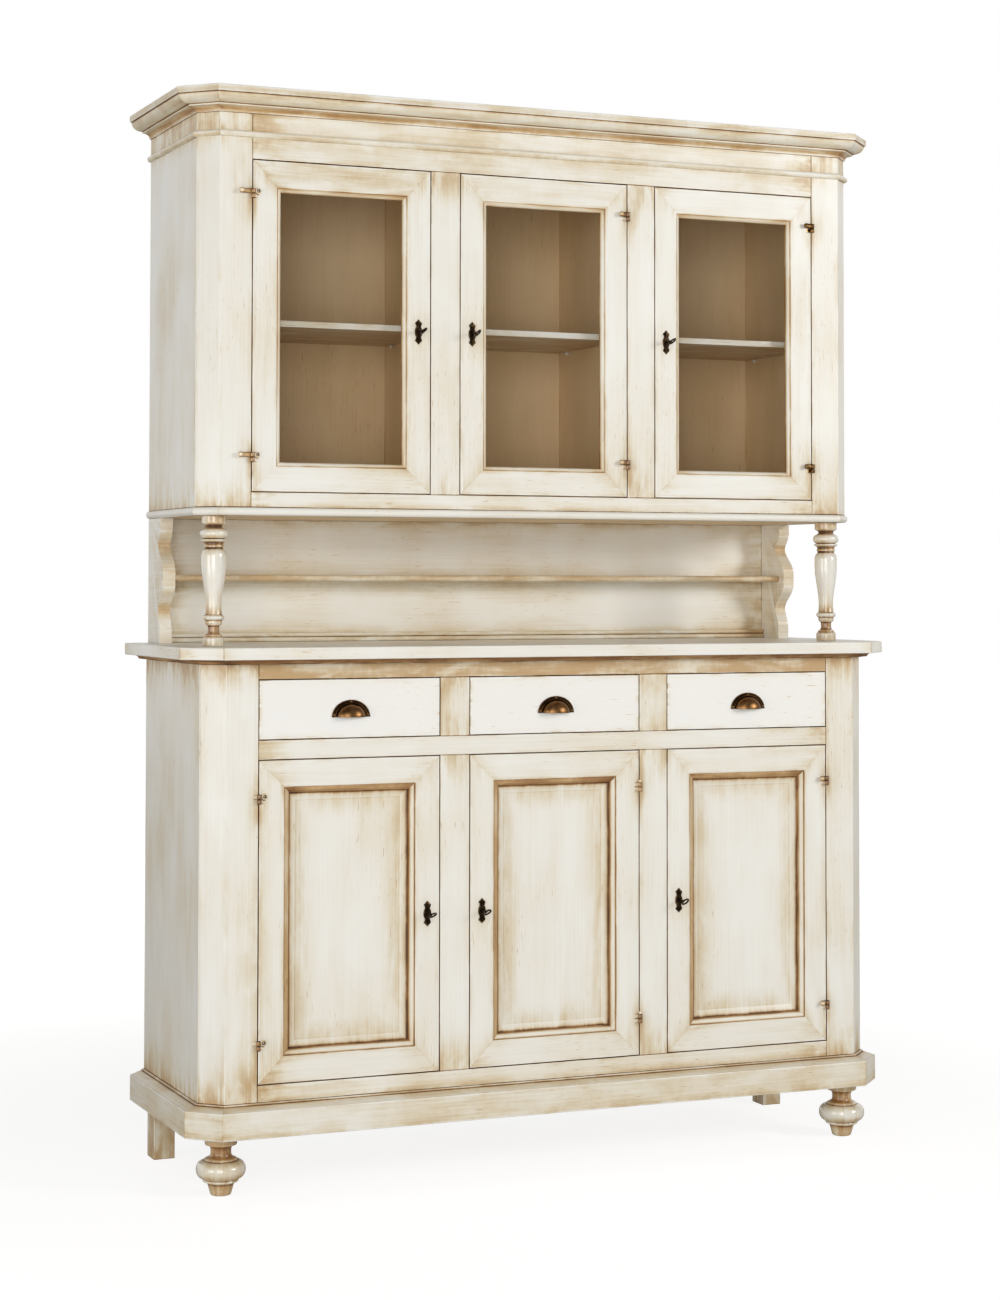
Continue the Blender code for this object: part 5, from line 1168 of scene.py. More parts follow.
# %% [markdown]
# ## Hutch carcass
# Seen from inside, the hutch is painted a darker taupe, whose warm tan is partly painted
# shade: the warm shade inside the closed case. The back is one smooth panel that runs behind
# both partitions. The shelves lie on short pins.

# %% Hutch carcass
HUTCH_TOP = Z_CROWN - SEAT
LINING_IN = 0.6515
LINING_OUT = 0.6695
for word, sign in SIDES:
    board_of("hutch_side_" + word, 2, SIDE_PAINT)
    corner_post("hutch_corner_post_" + word, "hutch_corner_" + word, sign, HUTCH_FRONT,
                HUTCH_CANT, HUTCH_SIDE, Z_HUTCH_FLOOR + SEAT, HUTCH_TOP)
    make_piece("hutch_lining_" + word,
               block((sign * LINING_IN, HUTCH_FRONT + FRAME_THICKNESS + SEAT,
                      Z_HUTCH_FLOOR + SEAT),
                     (sign * LINING_OUT, BACK_FACE - SEAT, HUTCH_TOP), 2), INSIDE_PAINT)
    make_piece("hutch_mullion_" + word, mullion(sign, HUTCH_FRONT, Z_GLAZED, Z_FRIEZE),
               replaces=["hutch_divider_" + word])
    make_piece("hutch_partition_" + word,
               partition(sign, HUTCH_FRONT, Z_HUTCH_FLOOR + SEAT, HUTCH_TOP), INSIDE_PAINT)
make_piece("hutch_back_panel",
           block((-NICHE_HALF, BACK_FACE, Z_HUTCH), (NICHE_HALF, BACK, HUTCH_TOP), 2),
           INSIDE_PAINT)
for word in BAYS:
    edge_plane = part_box("hutch_shelf_" + word)[0].y + ARRIS
    # Shelf faces behind the front edge are darkened as painted shade inside the hutch; the
    # front edge stays light.
    board_of("hutch_shelf_" + word, 0, stain=lambda y, z: np.where(y > edge_plane, 0.42, 0.06))
print("hutch boards made")

# %% [markdown]
# ### Shelf pins
# A shelf lies on four pins. A pin is a short rod with eased ends, spun about its own
# axis as the posts are.

# %% Shelf pins
PIN = 0.0034
PIN_LENGTH = 0.008
PIN_INSET = 0.050        # from the shelf's front and from the back
Z_PIN = low_z("hutch_shelf_middle") - SEAT - PIN


def rod(radius, axis, start, stop, centre, crown, turns=16):
    """A round rod along an axis, its ends eased by `crown`."""
    near = crown * np.array([0.0, 0.3, 1.0])
    size = radius - crown * np.array([1.0, 0.3, 0.0, 0.0, 0.3, 1.0])
    points = spun(size, np.concatenate([start + near, stop - near[::-1]]), axis, centre, turns)
    others = across(axis)
    return [patch(points, points[..., [axis, others[0]]]), *spun_caps(points, others)]


pins = []
for y in (HUTCH_FRONT + 0.032 + PIN_INSET, BACK_FACE - PIN_INSET):
    for wall, way in ((-LINING_IN, 1), (-PARTITION_AT - PARTITION_HALF, -1),
                      (-PARTITION_AT + PARTITION_HALF, 1), (PARTITION_AT - PARTITION_HALF, -1),
                      (PARTITION_AT + PARTITION_HALF, 1), (LINING_IN, -1)):
        ends = sorted((wall + way * TOUCH, wall + way * PIN_LENGTH))
        pins += rod(PIN, 0, *ends, (y, Z_PIN), 0.0005)
make_piece("shelf_pins", pins)
print("shelf pins at", round(Z_PIN, 4))

# %% [markdown]
# ## Door frames
# A door frame is four members with a moulded inner edge, mitred at the corners. One
# closed section is carried round the rectangle. Each point of it says what share of the
# stile's width it has crossed and how far it stands inside the opening line, so that
# rails and stiles may differ in width.

# %% Door frames
REBATE = 0.007           # how far the pane or panel reaches into the frame


def frame_corners(outer, widths, share, extra, depth):
    """Corners (left-bottom, right-bottom, right-top, left-top) of each section point."""
    x0, x1, z0, z1 = outer
    left, right, bottom, top = (w * share + extra for w in widths)
    return np.stack([stacked(x, depth, z) for x, z in (
        (x0 + left, z0 + bottom), (x1 - right, z0 + bottom), (x1 - right, z1 - top),
        (x0 + left, z1 - top))], axis=1)


def door_frame(outer, face, widths, moulded_edge, thickness, rebate_depth, glaze, member_shade):
    """Frame of a door. The section runs, seen from below with the opening on the right:
    back, outer edge, face, moulded inner edge, rebate. moulded_edge lists (inside the
    opening line, depth) from the face inwards; glaze lists (inside the line, share).
    member_shade is painted shade on the moulding of the bottom, right, top and left member,
    which face the light differently: how much darker it is made and how much less rubbed."""
    width = widths[0]
    inner = width + moulded_edge[-1][0]
    section = divided(np.vstack([
        [(0.0, thickness), (0.0, EASE)], arc((EASE, EASE), (EASE, EASE), 180, 270, 3),
        [(EASE + SUPPORT, 0.0), (width - EASE, 0.0)], moulded_edge + (width, 0.0),
        [(inner, rebate_depth), (inner - REBATE, rebate_depth), (inner - REBATE, thickness)]]))
    rub = hollow_and_rub(section, True, 0.0022)[1]
    inward, depth = section.T
    hollow = np.interp(inward - width, *np.array(glaze).T)
    # The outer edge looks into the door's reveal, so it takes painted shade.
    hollow = np.where(inward < ARRIS, reveal_shade(depth), hollow)
    hollow = np.where(depth > rebate_depth + 0.0001, 0.0, hollow)
    share = np.clip(inward / width, 0, 1)
    extra = np.clip(inward - width, 0, None)
    edge = np.minimum(np.abs(inward), np.abs(inward - width)) + (depth > 0.002) * 0.01
    loop = lambda values: np.append(values, values[0])
    corners = frame_corners(outer, widths, loop(share), loop(extra), face + loop(depth))
    moulded = loop((inward > width + 0.0003) & (depth < rebate_depth + 0.0001))
    filled = np.stack([np.maximum(loop(hollow), amount * moulded) for amount in member_shade])
    worn = np.stack([loop(rub * (1 - np.minimum(hollow, 1))) * (1 - amount * moulded)
                     for amount in member_shade])
    return carried(corners, filled, worn, loop(edge), closed_path=True, mitre=0.034,
                   joint=0.12)


def door_rectangle(bay, low, high):
    """Outer rectangle of a door or drawer front between two rails."""
    half = MIDDLE_HALF - REVEAL
    return BAY_CENTRES[bay] - half, BAY_CENTRES[bay] + half, low + REVEAL, high - REVEAL


GLAZED_EDGE = np.vstack([[(-0.0006, 0.0002), (0.0, 0.0012), (0.0008, 0.0015)],
                         arc((0.0, 0.0083), (0.0085, 0.0073), -82, 0, 8)])
PANEL_EDGE = np.vstack([[(-0.0008, 0.0002), (-0.0001, 0.0008), (0.0, 0.0022),
                         (0.0007, 0.0024)],
                        arc((0.0010, 0.0085), (0.0100, 0.0063), -88, -8, 8),
                        [(0.0112, 0.0085), (0.0125, 0.0087)]])
GLAZED_GLAZE = ((-0.003, 0.0), (-0.0008, 0.08), (0.0, 0.46), (0.0014, 0.26), (0.0035, 0.05),
                (0.0062, 0.12), (0.0078, 0.30), (0.0085, 0.62))
PANEL_GLAZE = ((-0.003, 0.0), (-0.0008, 0.14), (0.0, 0.66), (0.0012, 0.46), (0.0034, 0.08),
               (0.0070, 0.08), (0.0092, 0.26), (0.0108, 0.62), (0.0125, 0.80))
PANELLED_WIDTHS = (0.0504, 0.0504, 0.0509, 0.0509)
# Widths of left, right, bottom and top, inner edge, thickness, rebate, glaze, painted member
# shade.
FRAMES = {"glazed": ((0.0494, 0.0494, 0.0487, 0.0519), GLAZED_EDGE, 0.020, 0.010,
                     GLAZED_GLAZE, (0.0, 0.04, 0.20, 0.12)),
          "panelled": (PANELLED_WIDTHS, PANEL_EDGE, 0.024, 0.0105, PANEL_GLAZE,
                       (0.0, 0.05, 0.54, 0.38))}
for bay, word in enumerate(BAYS):
    for kind, face, z0, z1, _ in DOORS:
        door = f"{kind}_door_{word}"
        make_piece(f"{kind}_frame_{word}",
                   door_frame(door_rectangle(bay, z0, z1), face, *FRAMES[kind]),
                   body=door, replaces=[door])
    panes = NODES["door_glass_" + word].data.materials
    panes.clear()
    panes.append(PANE)
print("door frames made")

# %% [markdown]
# ## Panels and drawer fronts
# A panel is a thin board whose border slopes back to a flat field. A drawer front is
# the same thing without a slope. Rings at set distances from the edge carry the profile,
# one face closes the middle, and the map is planar, because the board is one piece.

# %% Slabs with a shaped rim
def ringed(outer, profile, axes, edge_from, glaze, soft):
    """A slab with a shaped rim: (inward, y) points, from the middle of the back round the
    edge to the middle of the front. axes are the map's coordinates. edge_from is the
    inward distance that margins are measured from. glaze and soft list (inward, share)."""
    section = divided(profile, closed=False, near=(0.0014, 0.004, 0.012))
    inward, depth = section.T
    rub = hollow_and_rub(section, False, 0.002)[1]
    corners = frame_corners(outer, (0.0,) * 4, 0.0, inward, depth)
    margin = np.where(inward >= edge_from, inward - edge_from, 0.02)
    patches = carried(corners, np.interp(inward, *np.array(glaze).T), rub, margin,
                      closed_path=True, planar=(np.ones(len(section), bool), *axes),
                      stain=np.interp(inward, *np.array(soft).T))
    shift = RNG.uniform(0, 50, 2)
    for part in patches:
        part["grain"] = part["grain"] + shift
    rings = grids(patches, len(section))
    for column in (0, -1):
        loop = np.concatenate([ring[:-1, column] for ring in rings])
        middle = cap(loop, axes, edge=margin[column])
        middle["grain"] = loop[:, list(axes)] + shift
        patches.append(middle)
    return patches


# %% [markdown]
# ### Panels
# The rim of a panel is planed to a slope that ends in a small step at the field. Glaze
# fills the line where the rim meets its moulding, and thins out towards the field.

# %% Panels
LET_IN = 0.0064          # how far a panel reaches behind its moulding
LIP = 0.0108
PANEL_RIM = ((0.0600, 0.0225), (0.0, 0.0225), (0.0, LIP), (0.0056, LIP), (0.0064, 0.0112),
             (0.0074, 0.0122), (0.0120, 0.0137), (0.0205, 0.0163), (0.0213, 0.0165),
             (0.0260, 0.0165), (0.0330, 0.0165), (0.0480, 0.0165), (0.0600, 0.0165))
FIELD_GLAZE = ((0.0056, 0.80), (0.0066, 0.64), (0.0080, 0.22), (0.0105, 0.05), (0.0200, 0.0),
               (0.0206, 0.10), (0.0218, 0.0))
FIELD_SOFT = ((0.0070, 0.42), (0.0120, 0.18), (0.0190, 0.08), (0.0206, 0.19), (0.0300, 0.16),
              (0.0420, 0.08), (0.0600, 0.0))
NO_MARGIN = 1.0


def sloped_panel(bay):
    """A panel in its frame: the door's rectangle less the frame, plus what is let in."""
    x0, x1, z0, z1 = door_rectangle(bay, Z_LOWER_DOOR, Z_DRAWER_RAIL)
    wide, tall = (PANELLED_WIDTHS[i] + PANEL_EDGE[-1][0] for i in (0, 2))
    board = (x0 + wide - LET_IN, x1 - wide + LET_IN, z0 + tall - LET_IN,
             z1 - tall + LET_IN)
    return ringed(board, np.array(PANEL_RIM) + (0.0, FRONT), (2, 0), NO_MARGIN,
                  FIELD_GLAZE, FIELD_SOFT)


# %% [markdown]
# ### Drawers
# A drawer is a painted front on a tray of bare pine. The tray could be one solid, but it
# is made of four boards, so that each has its own grain.

# %% Drawers
FRONT_THICKNESS = 0.020
TRAY_WALL = 0.010
TRAY_FLOOR = 0.008
TRAY_HEIGHT = 0.085
TRAY_DEPTH = 0.375
FRONT_SOFT = ((0.0, 0.12), (0.004, 0.06), (0.014, 0.02), (0.030, 0.0))
FRONT_RIM = np.vstack([[(0.030, FRONT_THICKNESS), (0.0, FRONT_THICKNESS),
                        (0.0, EASE + SUPPORT)],
                       arc((EASE, EASE), (EASE, EASE), 180, 270, 3),
                       [(EASE + SUPPORT, 0.0), (0.006, 0.0), (0.014, 0.0), (0.030, 0.0)]])


def drawer_front(outer):
    """A flat front whose edge faces are darkened as painted shade, as every face in a reveal
    is.
    """
    front = ringed(outer, FRONT_RIM + (0.0, FRONT), (0, 2), 0.0, ((0.0, 0.0),), FRONT_SOFT)
    for part in front[:4]:
        part["hollow"] = reveal_shade(part["points"][:, 1] - FRONT)
    return front


def drawer_tray(centre, base):
    """Two sides, a back and a floor between them."""
    y0, y1, rim = FRONT + FRONT_THICKNESS + TOUCH, FRONT + TRAY_DEPTH, base + TRAY_HEIGHT
    inner = TRAY_HALF - TRAY_WALL - TOUCH
    boards = []
    for sign in (-1, 1):
        boards += block((centre + sign * TRAY_HALF, y0, base),
                        (centre + sign * (TRAY_HALF - TRAY_WALL), y1, rim), 1)
    boards += block((centre - inner, y1 - TRAY_WALL, base + TRAY_FLOOR + TOUCH),
                    (centre + inner, y1, rim), 0)
    return boards + block((centre - inner, y0 + TOUCH, base),
                          (centre + inner, y1, base + TRAY_FLOOR), 0)


for bay, word in enumerate(BAYS):
    make_piece("sloped_panel_" + word, sloped_panel(bay), body="panelled_door_" + word,
               replaces=["door_panel_" + word])
    outer = door_rectangle(bay, Z_DRAWER, Z_TOP_RAIL)
    make_piece("drawer_front_" + word, drawer_front(outer), DRAWER_PAINT, "drawer_" + word,
               ["drawer_" + word])
    make_piece("drawer_box_" + word, drawer_tray(BAY_CENTRES[bay], outer[2]), PINE,
               "drawer_" + word)
print("panels and drawers made")

# %% [markdown]
# ## Cup pulls
# A cup pull is pressed from sheet: a flange, a raised line, and a dome that is open
# below for the fingertips. The section through the sheet is carried round half a turn,
# squashed in height. Three screws hold it.

# %% Cup pulls
PULL_HALF = 0.039
PULL_HEIGHT = 0.033
DOME = PULL_HALF - 0.0095
FLANGE = 0.0021
SCREW_RADIUS, SCREW_HEIGHT = 0.0021, 0.0012
Z_PULL = (Z_DRAWER + Z_TOP_RAIL - PULL_HEIGHT) / 2


def cup_pull(centre_x):
    """x = r cos a, z = r sin a times height / half width, for a from 0 to 180 degrees.
    Fingers rub the whole dome, and the flange only on its arrises."""
    outline = np.vstack([
        [(PULL_HALF - 0.0006, 0.0)],
        arc((PULL_HALF - 0.0010, 0.0010), (0.0010, 0.0010), -30, 90, 4),
        [(DOME + 0.0062, 0.0020), (DOME + 0.0050, 0.0014)],
        arc((DOME + 0.0026, 0.0016), (0.0018, 0.0020), 10, 150, 8),
        [(DOME + 0.0004, 0.0018)],
        arc((0.0, 0.0), (DOME - 0.0002, 0.0210), 8, 90, 18),
        arc((0.0, 0.0), (DOME - 0.0030, 0.0190), 90, 0, 16)])
    rub = hollow_and_rub(outline, False, 0.0012)[1]
    radius, out = np.vstack([outline, outline[:1]]).T
    a = np.linspace(0, math.pi, 49)[:, None]
    points = stacked(centre_x + radius * np.cos(a), FRONT - SEAT - out,
                     Z_PULL + radius * np.sin(a) * (PULL_HEIGHT / PULL_HALF))
    rubbed = np.append(np.clip(rub * 0.40 + 0.60 * (out[:-1] > 0.0045), 0, 0.75), 0.3)
    return [patch(points, points[..., [0, 2]], rub=rubbed), *capped(points, (0, 1))]


def dome_screw(x, z):
    """A round screw head: rings whose radius is cos a and height sin a."""
    a = np.radians(np.linspace(0, 84, 7))
    points = spun(SCREW_RADIUS * np.cos(a),
                  FRONT - SEAT - FLANGE - SCREW_HEIGHT * np.sin(a), 1, (x, z), 16)
    return [patch(points, points[..., [0, 2]], rub=0.9), *spun_caps(points, (0, 2))]


for x, word in zip(BAY_CENTRES, BAYS):
    make_piece("cup_pull_shell_" + word, cup_pull(x), PULL_BRONZE, "drawer_" + word,
               ["cup_pull_" + word], **METAL)
    screws = dome_screw(x, Z_PULL + PULL_HEIGHT - 0.0035)
    for side in (-1, 1):
        screws += dome_screw(x + side * (PULL_HALF - 0.0045), Z_PULL + 0.0045)
    make_piece("cup_pull_screws_" + word, screws, BRONZE, "drawer_" + word, **METAL)
print("cup pulls", 2 * PULL_HALF, "wide made")

# %% [markdown]
# ## Keyhole plates and keys
# A keyhole plate is cast, so it is thicker in the middle: copies of its outline shrink
# towards the middle as they rise. Each key has a collared shank and a ring for a bow.

# %% Keyhole plates and keys
def plate_outline():
    """Half the outline mirrored: point, scrolled nub, waist and full belly."""
    right = np.vstack([[(0.0, 0.0250), (0.0022, 0.0226), (0.0048, 0.0200), (0.0066, 0.0186),
                        (0.0073, 0.0172), (0.0068, 0.0158), (0.0056, 0.0150),
                        (0.0050, 0.0128), (0.0052, 0.0108)],
                       arc((0.0040, 0.0), (0.0040, 0.0098), 72, -72, 12)])
    lower = right[:9][::-1] * (1, -1)
    edge = np.vstack([right, lower])
    return np.vstack([edge, (edge[1:-1] * (-1, 1))[::-1]])


def cast_plate(x, z, face):
    """The outline at shares of its size, each standing further out."""
    outline = plate_outline()
    across_x, up_z = np.vstack([outline, outline[:1]]).T
    share, out, rub = np.array([
        (1.0, -0.0002, 0.0), (1.0, 0.0007, 0.15), (0.97, 0.0012, 0.50), (0.88, 0.0016, 0.30),
        (0.70, 0.0020, 0.12), (0.40, 0.0023, 0.16), (0.15, 0.0024, 0.20)]).T[..., None]
    points = stacked(x + across_x * share, face - out, z + up_z * share)
    return [patch(points, points[..., [0, 2]], rub=rub), *capped(points, (0, 2))]


BOW_LENGTH, BOW_WIDTH, BOW_WIRE = 0.0084, 0.0070, 0.0020
SHANK_END = -0.0206


def key_bow():
    """An oval ring across the shank: a small circle carried round an ellipse, along the
    ellipse's own normal, and a little flattened from side to side."""
    turn = np.linspace(0, math.tau, 41)[:, None]
    swing = np.linspace(0, math.tau, 13)
    out_y, out_z = np.cos(turn) / BOW_LENGTH, np.sin(turn) / BOW_WIDTH
    ring = BOW_WIRE * np.cos(swing) / np.hypot(out_y, out_z)
    middle = SHANK_END - BOW_LENGTH + 0.0004
    points = stacked(BOW_WIRE * 0.85 * np.sin(swing),
                     middle + BOW_LENGTH * np.cos(turn) + ring * out_y,
                     BOW_WIDTH * np.sin(turn) + ring * out_z)
    return patch(points, points[..., [1, 2]], rub=0.20)


def key_parts(tilt, place):
    """Shank, two collars and bow along -Y, turned about Y by the tilt, then put in place."""
    parts = rod(0.0020, 1, -0.0215, 0.013, (0, 0), 0.0004)
    parts += rod(0.0034, 1, -0.0050, -0.0030, (0, 0), 0.0008)
    parts += rod(0.0029, 1, -0.0205, -0.0188, (0, 0), 0.0006)
    parts.append(key_bow())
    c, s = math.cos(tilt), math.sin(tilt)
    spin = np.array([[c, 0, s], [0, 1, 0], [-s, 0, c]])
    for part in parts:
        part["points"] = part["points"] @ spin.T + place
    return parts


KEYHOLE_INSET = 0.025    # from the door's free edge
KEY_TILT = {"glazed": (45, 40, 45), "panelled": (62, 55, 50)}
for kind, face, z0, z1, _ in DOORS:
    for bay, word in enumerate(BAYS):
        x = BAY_CENTRES[bay] - HINGE_SIDE[bay] * (MIDDLE_HALF - REVEAL - KEYHOLE_INSET)
        z = (z0 + z1) / 2
        make_piece(f"{kind}_keyhole_plate_{word}", cast_plate(x, z, face), BRONZE,
                   f"{kind}_door_{word}", **METAL)
        key = f"{kind}_key_{word}"
        make_piece(f"{kind}_key_bow_{word}",
                   key_parts(math.radians(KEY_TILT[kind][bay]), (x, face, z)), BRONZE, key,
                   [key], **METAL)
print("plates and keys made")

# %% [markdown]
# ## Hinges
# Each hinge has two knuckles on one pin. Most have a tongue beside the upper one, which
# narrows and ends in a curl: an oval section carried along a line that runs straight and
# then curls forwards. The painter's brush caught most hinges, and the glaze was left at
# their edges; the upper and lower edges of a tongue are also darkened as painted shade.
# Those of the left doors have a small eye beside the knuckles, and those of the middle
# panelled door end in a small ball.

# %% Parts of a hinge
HINGE_OUT = 0.0043
KNUCKLE = 0.0092
BARREL = 0.0045
TONGUE_TALL = 0.0055
TONGUE_HALF = 0.0015
CURL = 0.0030
EYE, EYE_WIRE = 0.0040, 0.0020
BALL = 0.0036


def knuckle_parts(x, y, z0):
    """A barrel with rounded ends, glazed at both of them."""
    parts = rod(BARREL, 2, z0, z0 + KNUCKLE, (x, y), 0.0014, turns=24)
    for part in parts:
        height = part["points"][:, 2] - z0
        part["hollow"] = 1.1 * np.exp(-np.minimum(height, KNUCKLE - height) / 0.0012)
        part["stain"] = np.full(len(height), 0.22)
    return parts


def tongue_parts(x, y, z, length, glaze):
    """An oval section along a line in x and y: point = line + normal * thickness * cos a,
    z = height * sin a, with the height falling from the knuckle to the curl."""
    straight = np.stack([np.linspace(0.002, length, 8), np.zeros(8)], -1)
    line = np.vstack([straight, arc((length, -CURL), (CURL, CURL), 90, -190, 18)[1:]])
    step = np.gradient(line, axis=0)
    normal = np.stack([-step[:, 1], step[:, 0]], -1)
    normal /= np.linalg.norm(normal, axis=1, keepdims=True)
    far = travelled(line) / travelled(line)[-1]
    height = TONGUE_TALL * (1 - 0.20 * np.sin(np.clip(far * 2.2, 0, 1) * math.pi / 2)
                            + 0.12 * np.clip(far * 2 - 1, 0, 1))
    a = np.linspace(0, math.tau, 21)
    flat = line[:, None] + normal[:, None] * TONGUE_HALF * np.cos(a)[:, None]
    points = stacked(x - flat[..., 0], y + flat[..., 1], z + height[:, None] * np.sin(a))
    # The upper and lower edges of the tongue are darkened: glaze, and painted shade where its
    # round turns from the light.
    rim_glaze_and_shade = np.abs(np.sin(a)) ** 4
    hollow = 0.85 * np.maximum(rim_glaze_and_shade, np.exp(-far * 12)[:, None])
    return [patch(points, points[..., [0, 2]], hollow=hollow,
                  stain=glaze * (1 - 0.7 * (far > 0.55))[:, None]),
            *capped(points, (1, 2), hollow=0.8)]


def eye_parts(x, y, z):
    """A torus that lies flat on the door."""
    swing = np.linspace(0, math.tau, 13)
    points = spun(EYE + EYE_WIRE * np.cos(swing), y + EYE_WIRE * np.sin(swing), 1, (x, z), 24)
    return [patch(points, points[..., [0, 2]], hollow=0.95 * (np.cos(swing) < -0.3),
                  stain=0.12)]


def ball_parts(x, y, z):
    """A small round finial: radius * cos a outwards, radius * sin a up."""
    a = np.linspace(-1.45, 1.45, 13)
    points = spun(BALL * np.cos(a), z + BALL * np.sin(a), 2, (x, y), 24)
    return [patch(points, points[..., [0, 2]], hollow=0.7 * (a < -0.8), stain=0.12),
            *spun_caps(points, (0, 1))]


# %% [markdown]
# ### Hinges in place
# A tongue always points to the left. On a left door that is away from the door, so the
# upper half stays with the case. On the others it lies on the door and moves with it.

# %% Hinges
KNUCKLE_GAP = 0.00015
TONGUES = {"glazed": (0.0240, 0.0160, 0.0160), "panelled": (0.0, 0.0, 0.0130)}
TONGUE_GLAZE = {"glazed": (0.42, 0.62, 0.30), "panelled": (0.30, 0.30, 0.55)}


def hinge_parts(x, face, z, side, tongue, glaze):
    """Upper and lower half of one hinge, whose knuckles meet at z. side says on which
    side of the door it stands."""
    y = face - HINGE_OUT
    upper = knuckle_parts(x, y, z + KNUCKLE_GAP)
    lower = knuckle_parts(x, y, z - KNUCKLE_GAP - KNUCKLE)
    for half, way, foot in ((upper, -1, z + 0.0004), (lower, -side, z - 0.0084)):
        half += block((x + way * 0.0026, face - 0.0007, foot),
                      (x + way * 0.0105, face + 0.0004, foot + 0.0080), 2, ease=0.0002)
    if tongue:
        upper += tongue_parts(x, y, z + KNUCKLE / 2, tongue, glaze)
    elif side > 0:
        upper += ball_parts(x, y, z + KNUCKLE + 0.0022)
    if side < 0:
        lower += eye_parts(x + 0.0110, face - 0.0021, z + 0.0050)
        lower += block((x + 0.0078, face - 0.0014, z - 0.0030),
                       (x + 0.0130, face + 0.0004, z + 0.0006), 2, ease=0.0003)
    return upper, lower


for kind, face, z0, z1, inset in DOORS:
    for bay, word in enumerate(BAYS):
        side = HINGE_SIDE[bay]
        x = BAY_CENTRES[bay] + side * (MIDDLE_HALF - REVEAL / 2)
        halves = [hinge_parts(x, face, z, side, TONGUES[kind][bay], TONGUE_GLAZE[kind][bay])
                  for z in (z0 + inset, z1 - inset)]
        upper, lower = (sum(parts, []) for parts in zip(*halves))
        fixed, moving = (upper, lower) if side < 0 else (lower, upper)
        # The right glazed door's hinges are bare darkened brass; their darker tone is partly
        # painted shade for the dark room they reflect.
        metal = BRASS if (kind, word) == ("glazed", "right") else HINGE_PAINT
        make_piece(f"{kind}_hinge_fixed_{word}", fixed, metal, **METAL)
        make_piece(f"{kind}_hinge_moving_{word}", moving, metal, f"{kind}_door_{word}",
                   **METAL)
print("hinges made")

# %% [markdown]
# ## Floor
# The photograph is a studio picture on white. The floor is a pale sheet that shows the
# cabinet's shadow. To the camera it is part matt sheet and part white glow, so that only
# the darkest part of the shadow stays, and it turns white away from the cabinet.

# %% Floor
WHITE = linear("#FFFFFF")
FLOOR_HALF = 12.0
Z_SHEET = -0.0005


def white_floor(name):
    """A matt pale sheet, which the camera sees darker by half and lifted by a glow."""
    material, node = new_material(name)
    matt = node("BsdfDiffuse", linear("#E9E7E2"))
    half = node("BsdfDiffuse", linear("#8E8D8B"))
    away = node("VectorMath", node("TexCoord", out=3), out=1, operation="LENGTH")
    strength = node("MapRange", away, 0.9, 3.0, 0.85, 1.0, **SMOOTH)
    lifted = node("AddShader", half, node("Emission", WHITE, strength))
    node("OutputMaterial", node("MixShader", node("LightPath"), matt, lifted))
    return material


sheet = bpy.data.meshes.new("floor_sheet")
sheet.from_pydata([(x * FLOOR_HALF, y * FLOOR_HALF, Z_SHEET)
                   for x, y in ((-1, -1), (1, -1), (1, 1), (-1, 1))], [], [(0, 1, 2, 3)])
sheet.materials.append(white_floor("pale_floor"))
floor = bpy.data.objects.new("floor_sheet", sheet)
bpy.context.scene.collection.objects.link(floor)
print("floor sheet", 2 * FLOOR_HALF, "wide")

# %% [markdown]
# ## Light
# The camera sees white behind the cabinet. Gloss sees white behind it too, and a dimmer
# room in front. A soft lamp at the upper right draws the shadows, a broad one stands at
# the front left, a third one lights the left end, and the world fills the rest.

# %% World
world = bpy.data.worlds.new("studio")
world.use_nodes = True
world.node_tree.nodes.clear()
node = partial(add, world.node_tree)
path = node("LightPath")
reflected = node("Math", path.node.outputs["Is Glossy Ray"],
                 path.node.outputs["Is Transmission Ray"], operation="MAXIMUM")
way = node("SeparateXYZ", node("TexCoord"))
behind_case = node("MapRange", way.node.outputs[1], -0.1, 0.4, 0.16, 1.0, **SMOOTH)
lit = node("MixShader", reflected, node("Background", linear("#FCFBF9"), 0.22),
           node("Background", WHITE, behind_case))
node("OutputWorld", node("MixShader", path, lit, node("Background", WHITE, 1.0)))
bpy.context.scene.world = world
print("world", len(world.node_tree.nodes), "nodes")

# %% [markdown]
# ### Lamps
# An area lamp shines along its own minus Z axis, so it is turned by the pitch and yaw
# that point this axis at its target. The larger the lamp, the softer its shadow.

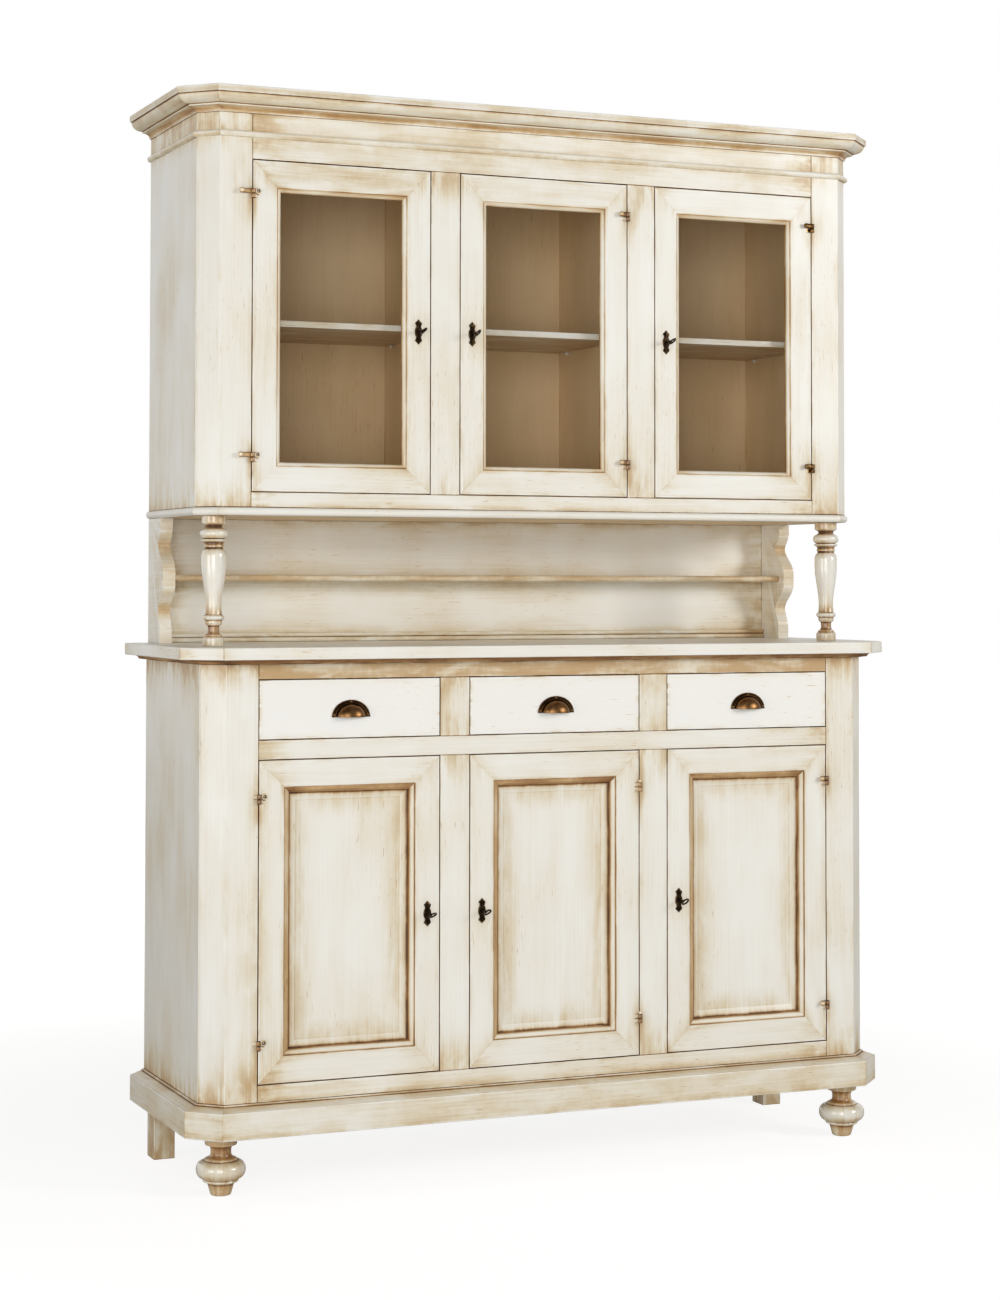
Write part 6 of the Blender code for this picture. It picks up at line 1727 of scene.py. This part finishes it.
# %% Lamps
def area_lamp(name, place, target, size, power):
    """A square soft lamp that looks at a point."""
    data = bpy.data.lights.new(name, "AREA")
    data.shape = "SQUARE"
    data.size = size
    data.energy = power
    lamp = bpy.data.objects.new(name, data)
    bpy.context.scene.collection.objects.link(lamp)
    away = np.array(place) - np.array(target)
    lamp.location = place
    lamp.rotation_euler = (math.atan2(math.hypot(away[0], away[1]), away[2]), 0,
                           math.atan2(away[1], away[0]) + math.pi / 2)


area_lamp("key", (3.9, -4.0, 2.5), (0.0, 0.0, 1.1), 1.4, 120)
area_lamp("fill", (-2.75, -5.9, 1.6), (0.0, 0.0, 1.1), 3.0, 152)
area_lamp("side_fill", (-5.2, -2.4, 0.9), (0.0, 0.0, 0.9), 2.4, 92)
print("lamps", len(bpy.data.lights))

# %% [markdown]
# ## Camera
# A pinhole camera was fitted to the corners of the case in the photograph. It stands at
# the front left at chest height and looks almost level.

# %% Camera
FOCAL_PIXELS = 2568.08
IMAGE = (1000, 1300)
CENTRE_ROW = 494.12      # the row that the lens points at
CAMERA_PLACE = (-2.11029, -4.84157, 1.15471)
YAW, PITCH, ROLL = 0.40396, 0.03397, 0.00119
ahead = np.array([math.sin(YAW) * math.cos(PITCH), math.cos(YAW) * math.cos(PITCH),
                  math.sin(PITCH)])
level = np.array([math.cos(YAW), -math.sin(YAW), 0.0])
above = np.cross(level, ahead)
right = level * math.cos(ROLL) + above * math.sin(ROLL)
up = -level * math.sin(ROLL) + above * math.cos(ROLL)
camera_data = bpy.data.cameras.new("camera")
camera_data.sensor_width = 36.0
camera_data.lens = FOCAL_PIXELS / IMAGE[1] * camera_data.sensor_width
camera_data.shift_y = -(IMAGE[1] / 2 - CENTRE_ROW) / IMAGE[1]
camera_data.clip_end = 60.0
camera = bpy.data.objects.new("camera", camera_data)
bpy.context.scene.collection.objects.link(camera)
from mathutils import Matrix
camera.matrix_world = Matrix([(right[i], up[i], -ahead[i], CAMERA_PLACE[i]) for i in range(3)]
                             + [(0, 0, 0, 1)])
bpy.context.scene.camera = camera
bpy.context.scene.view_settings.view_transform = "Standard"
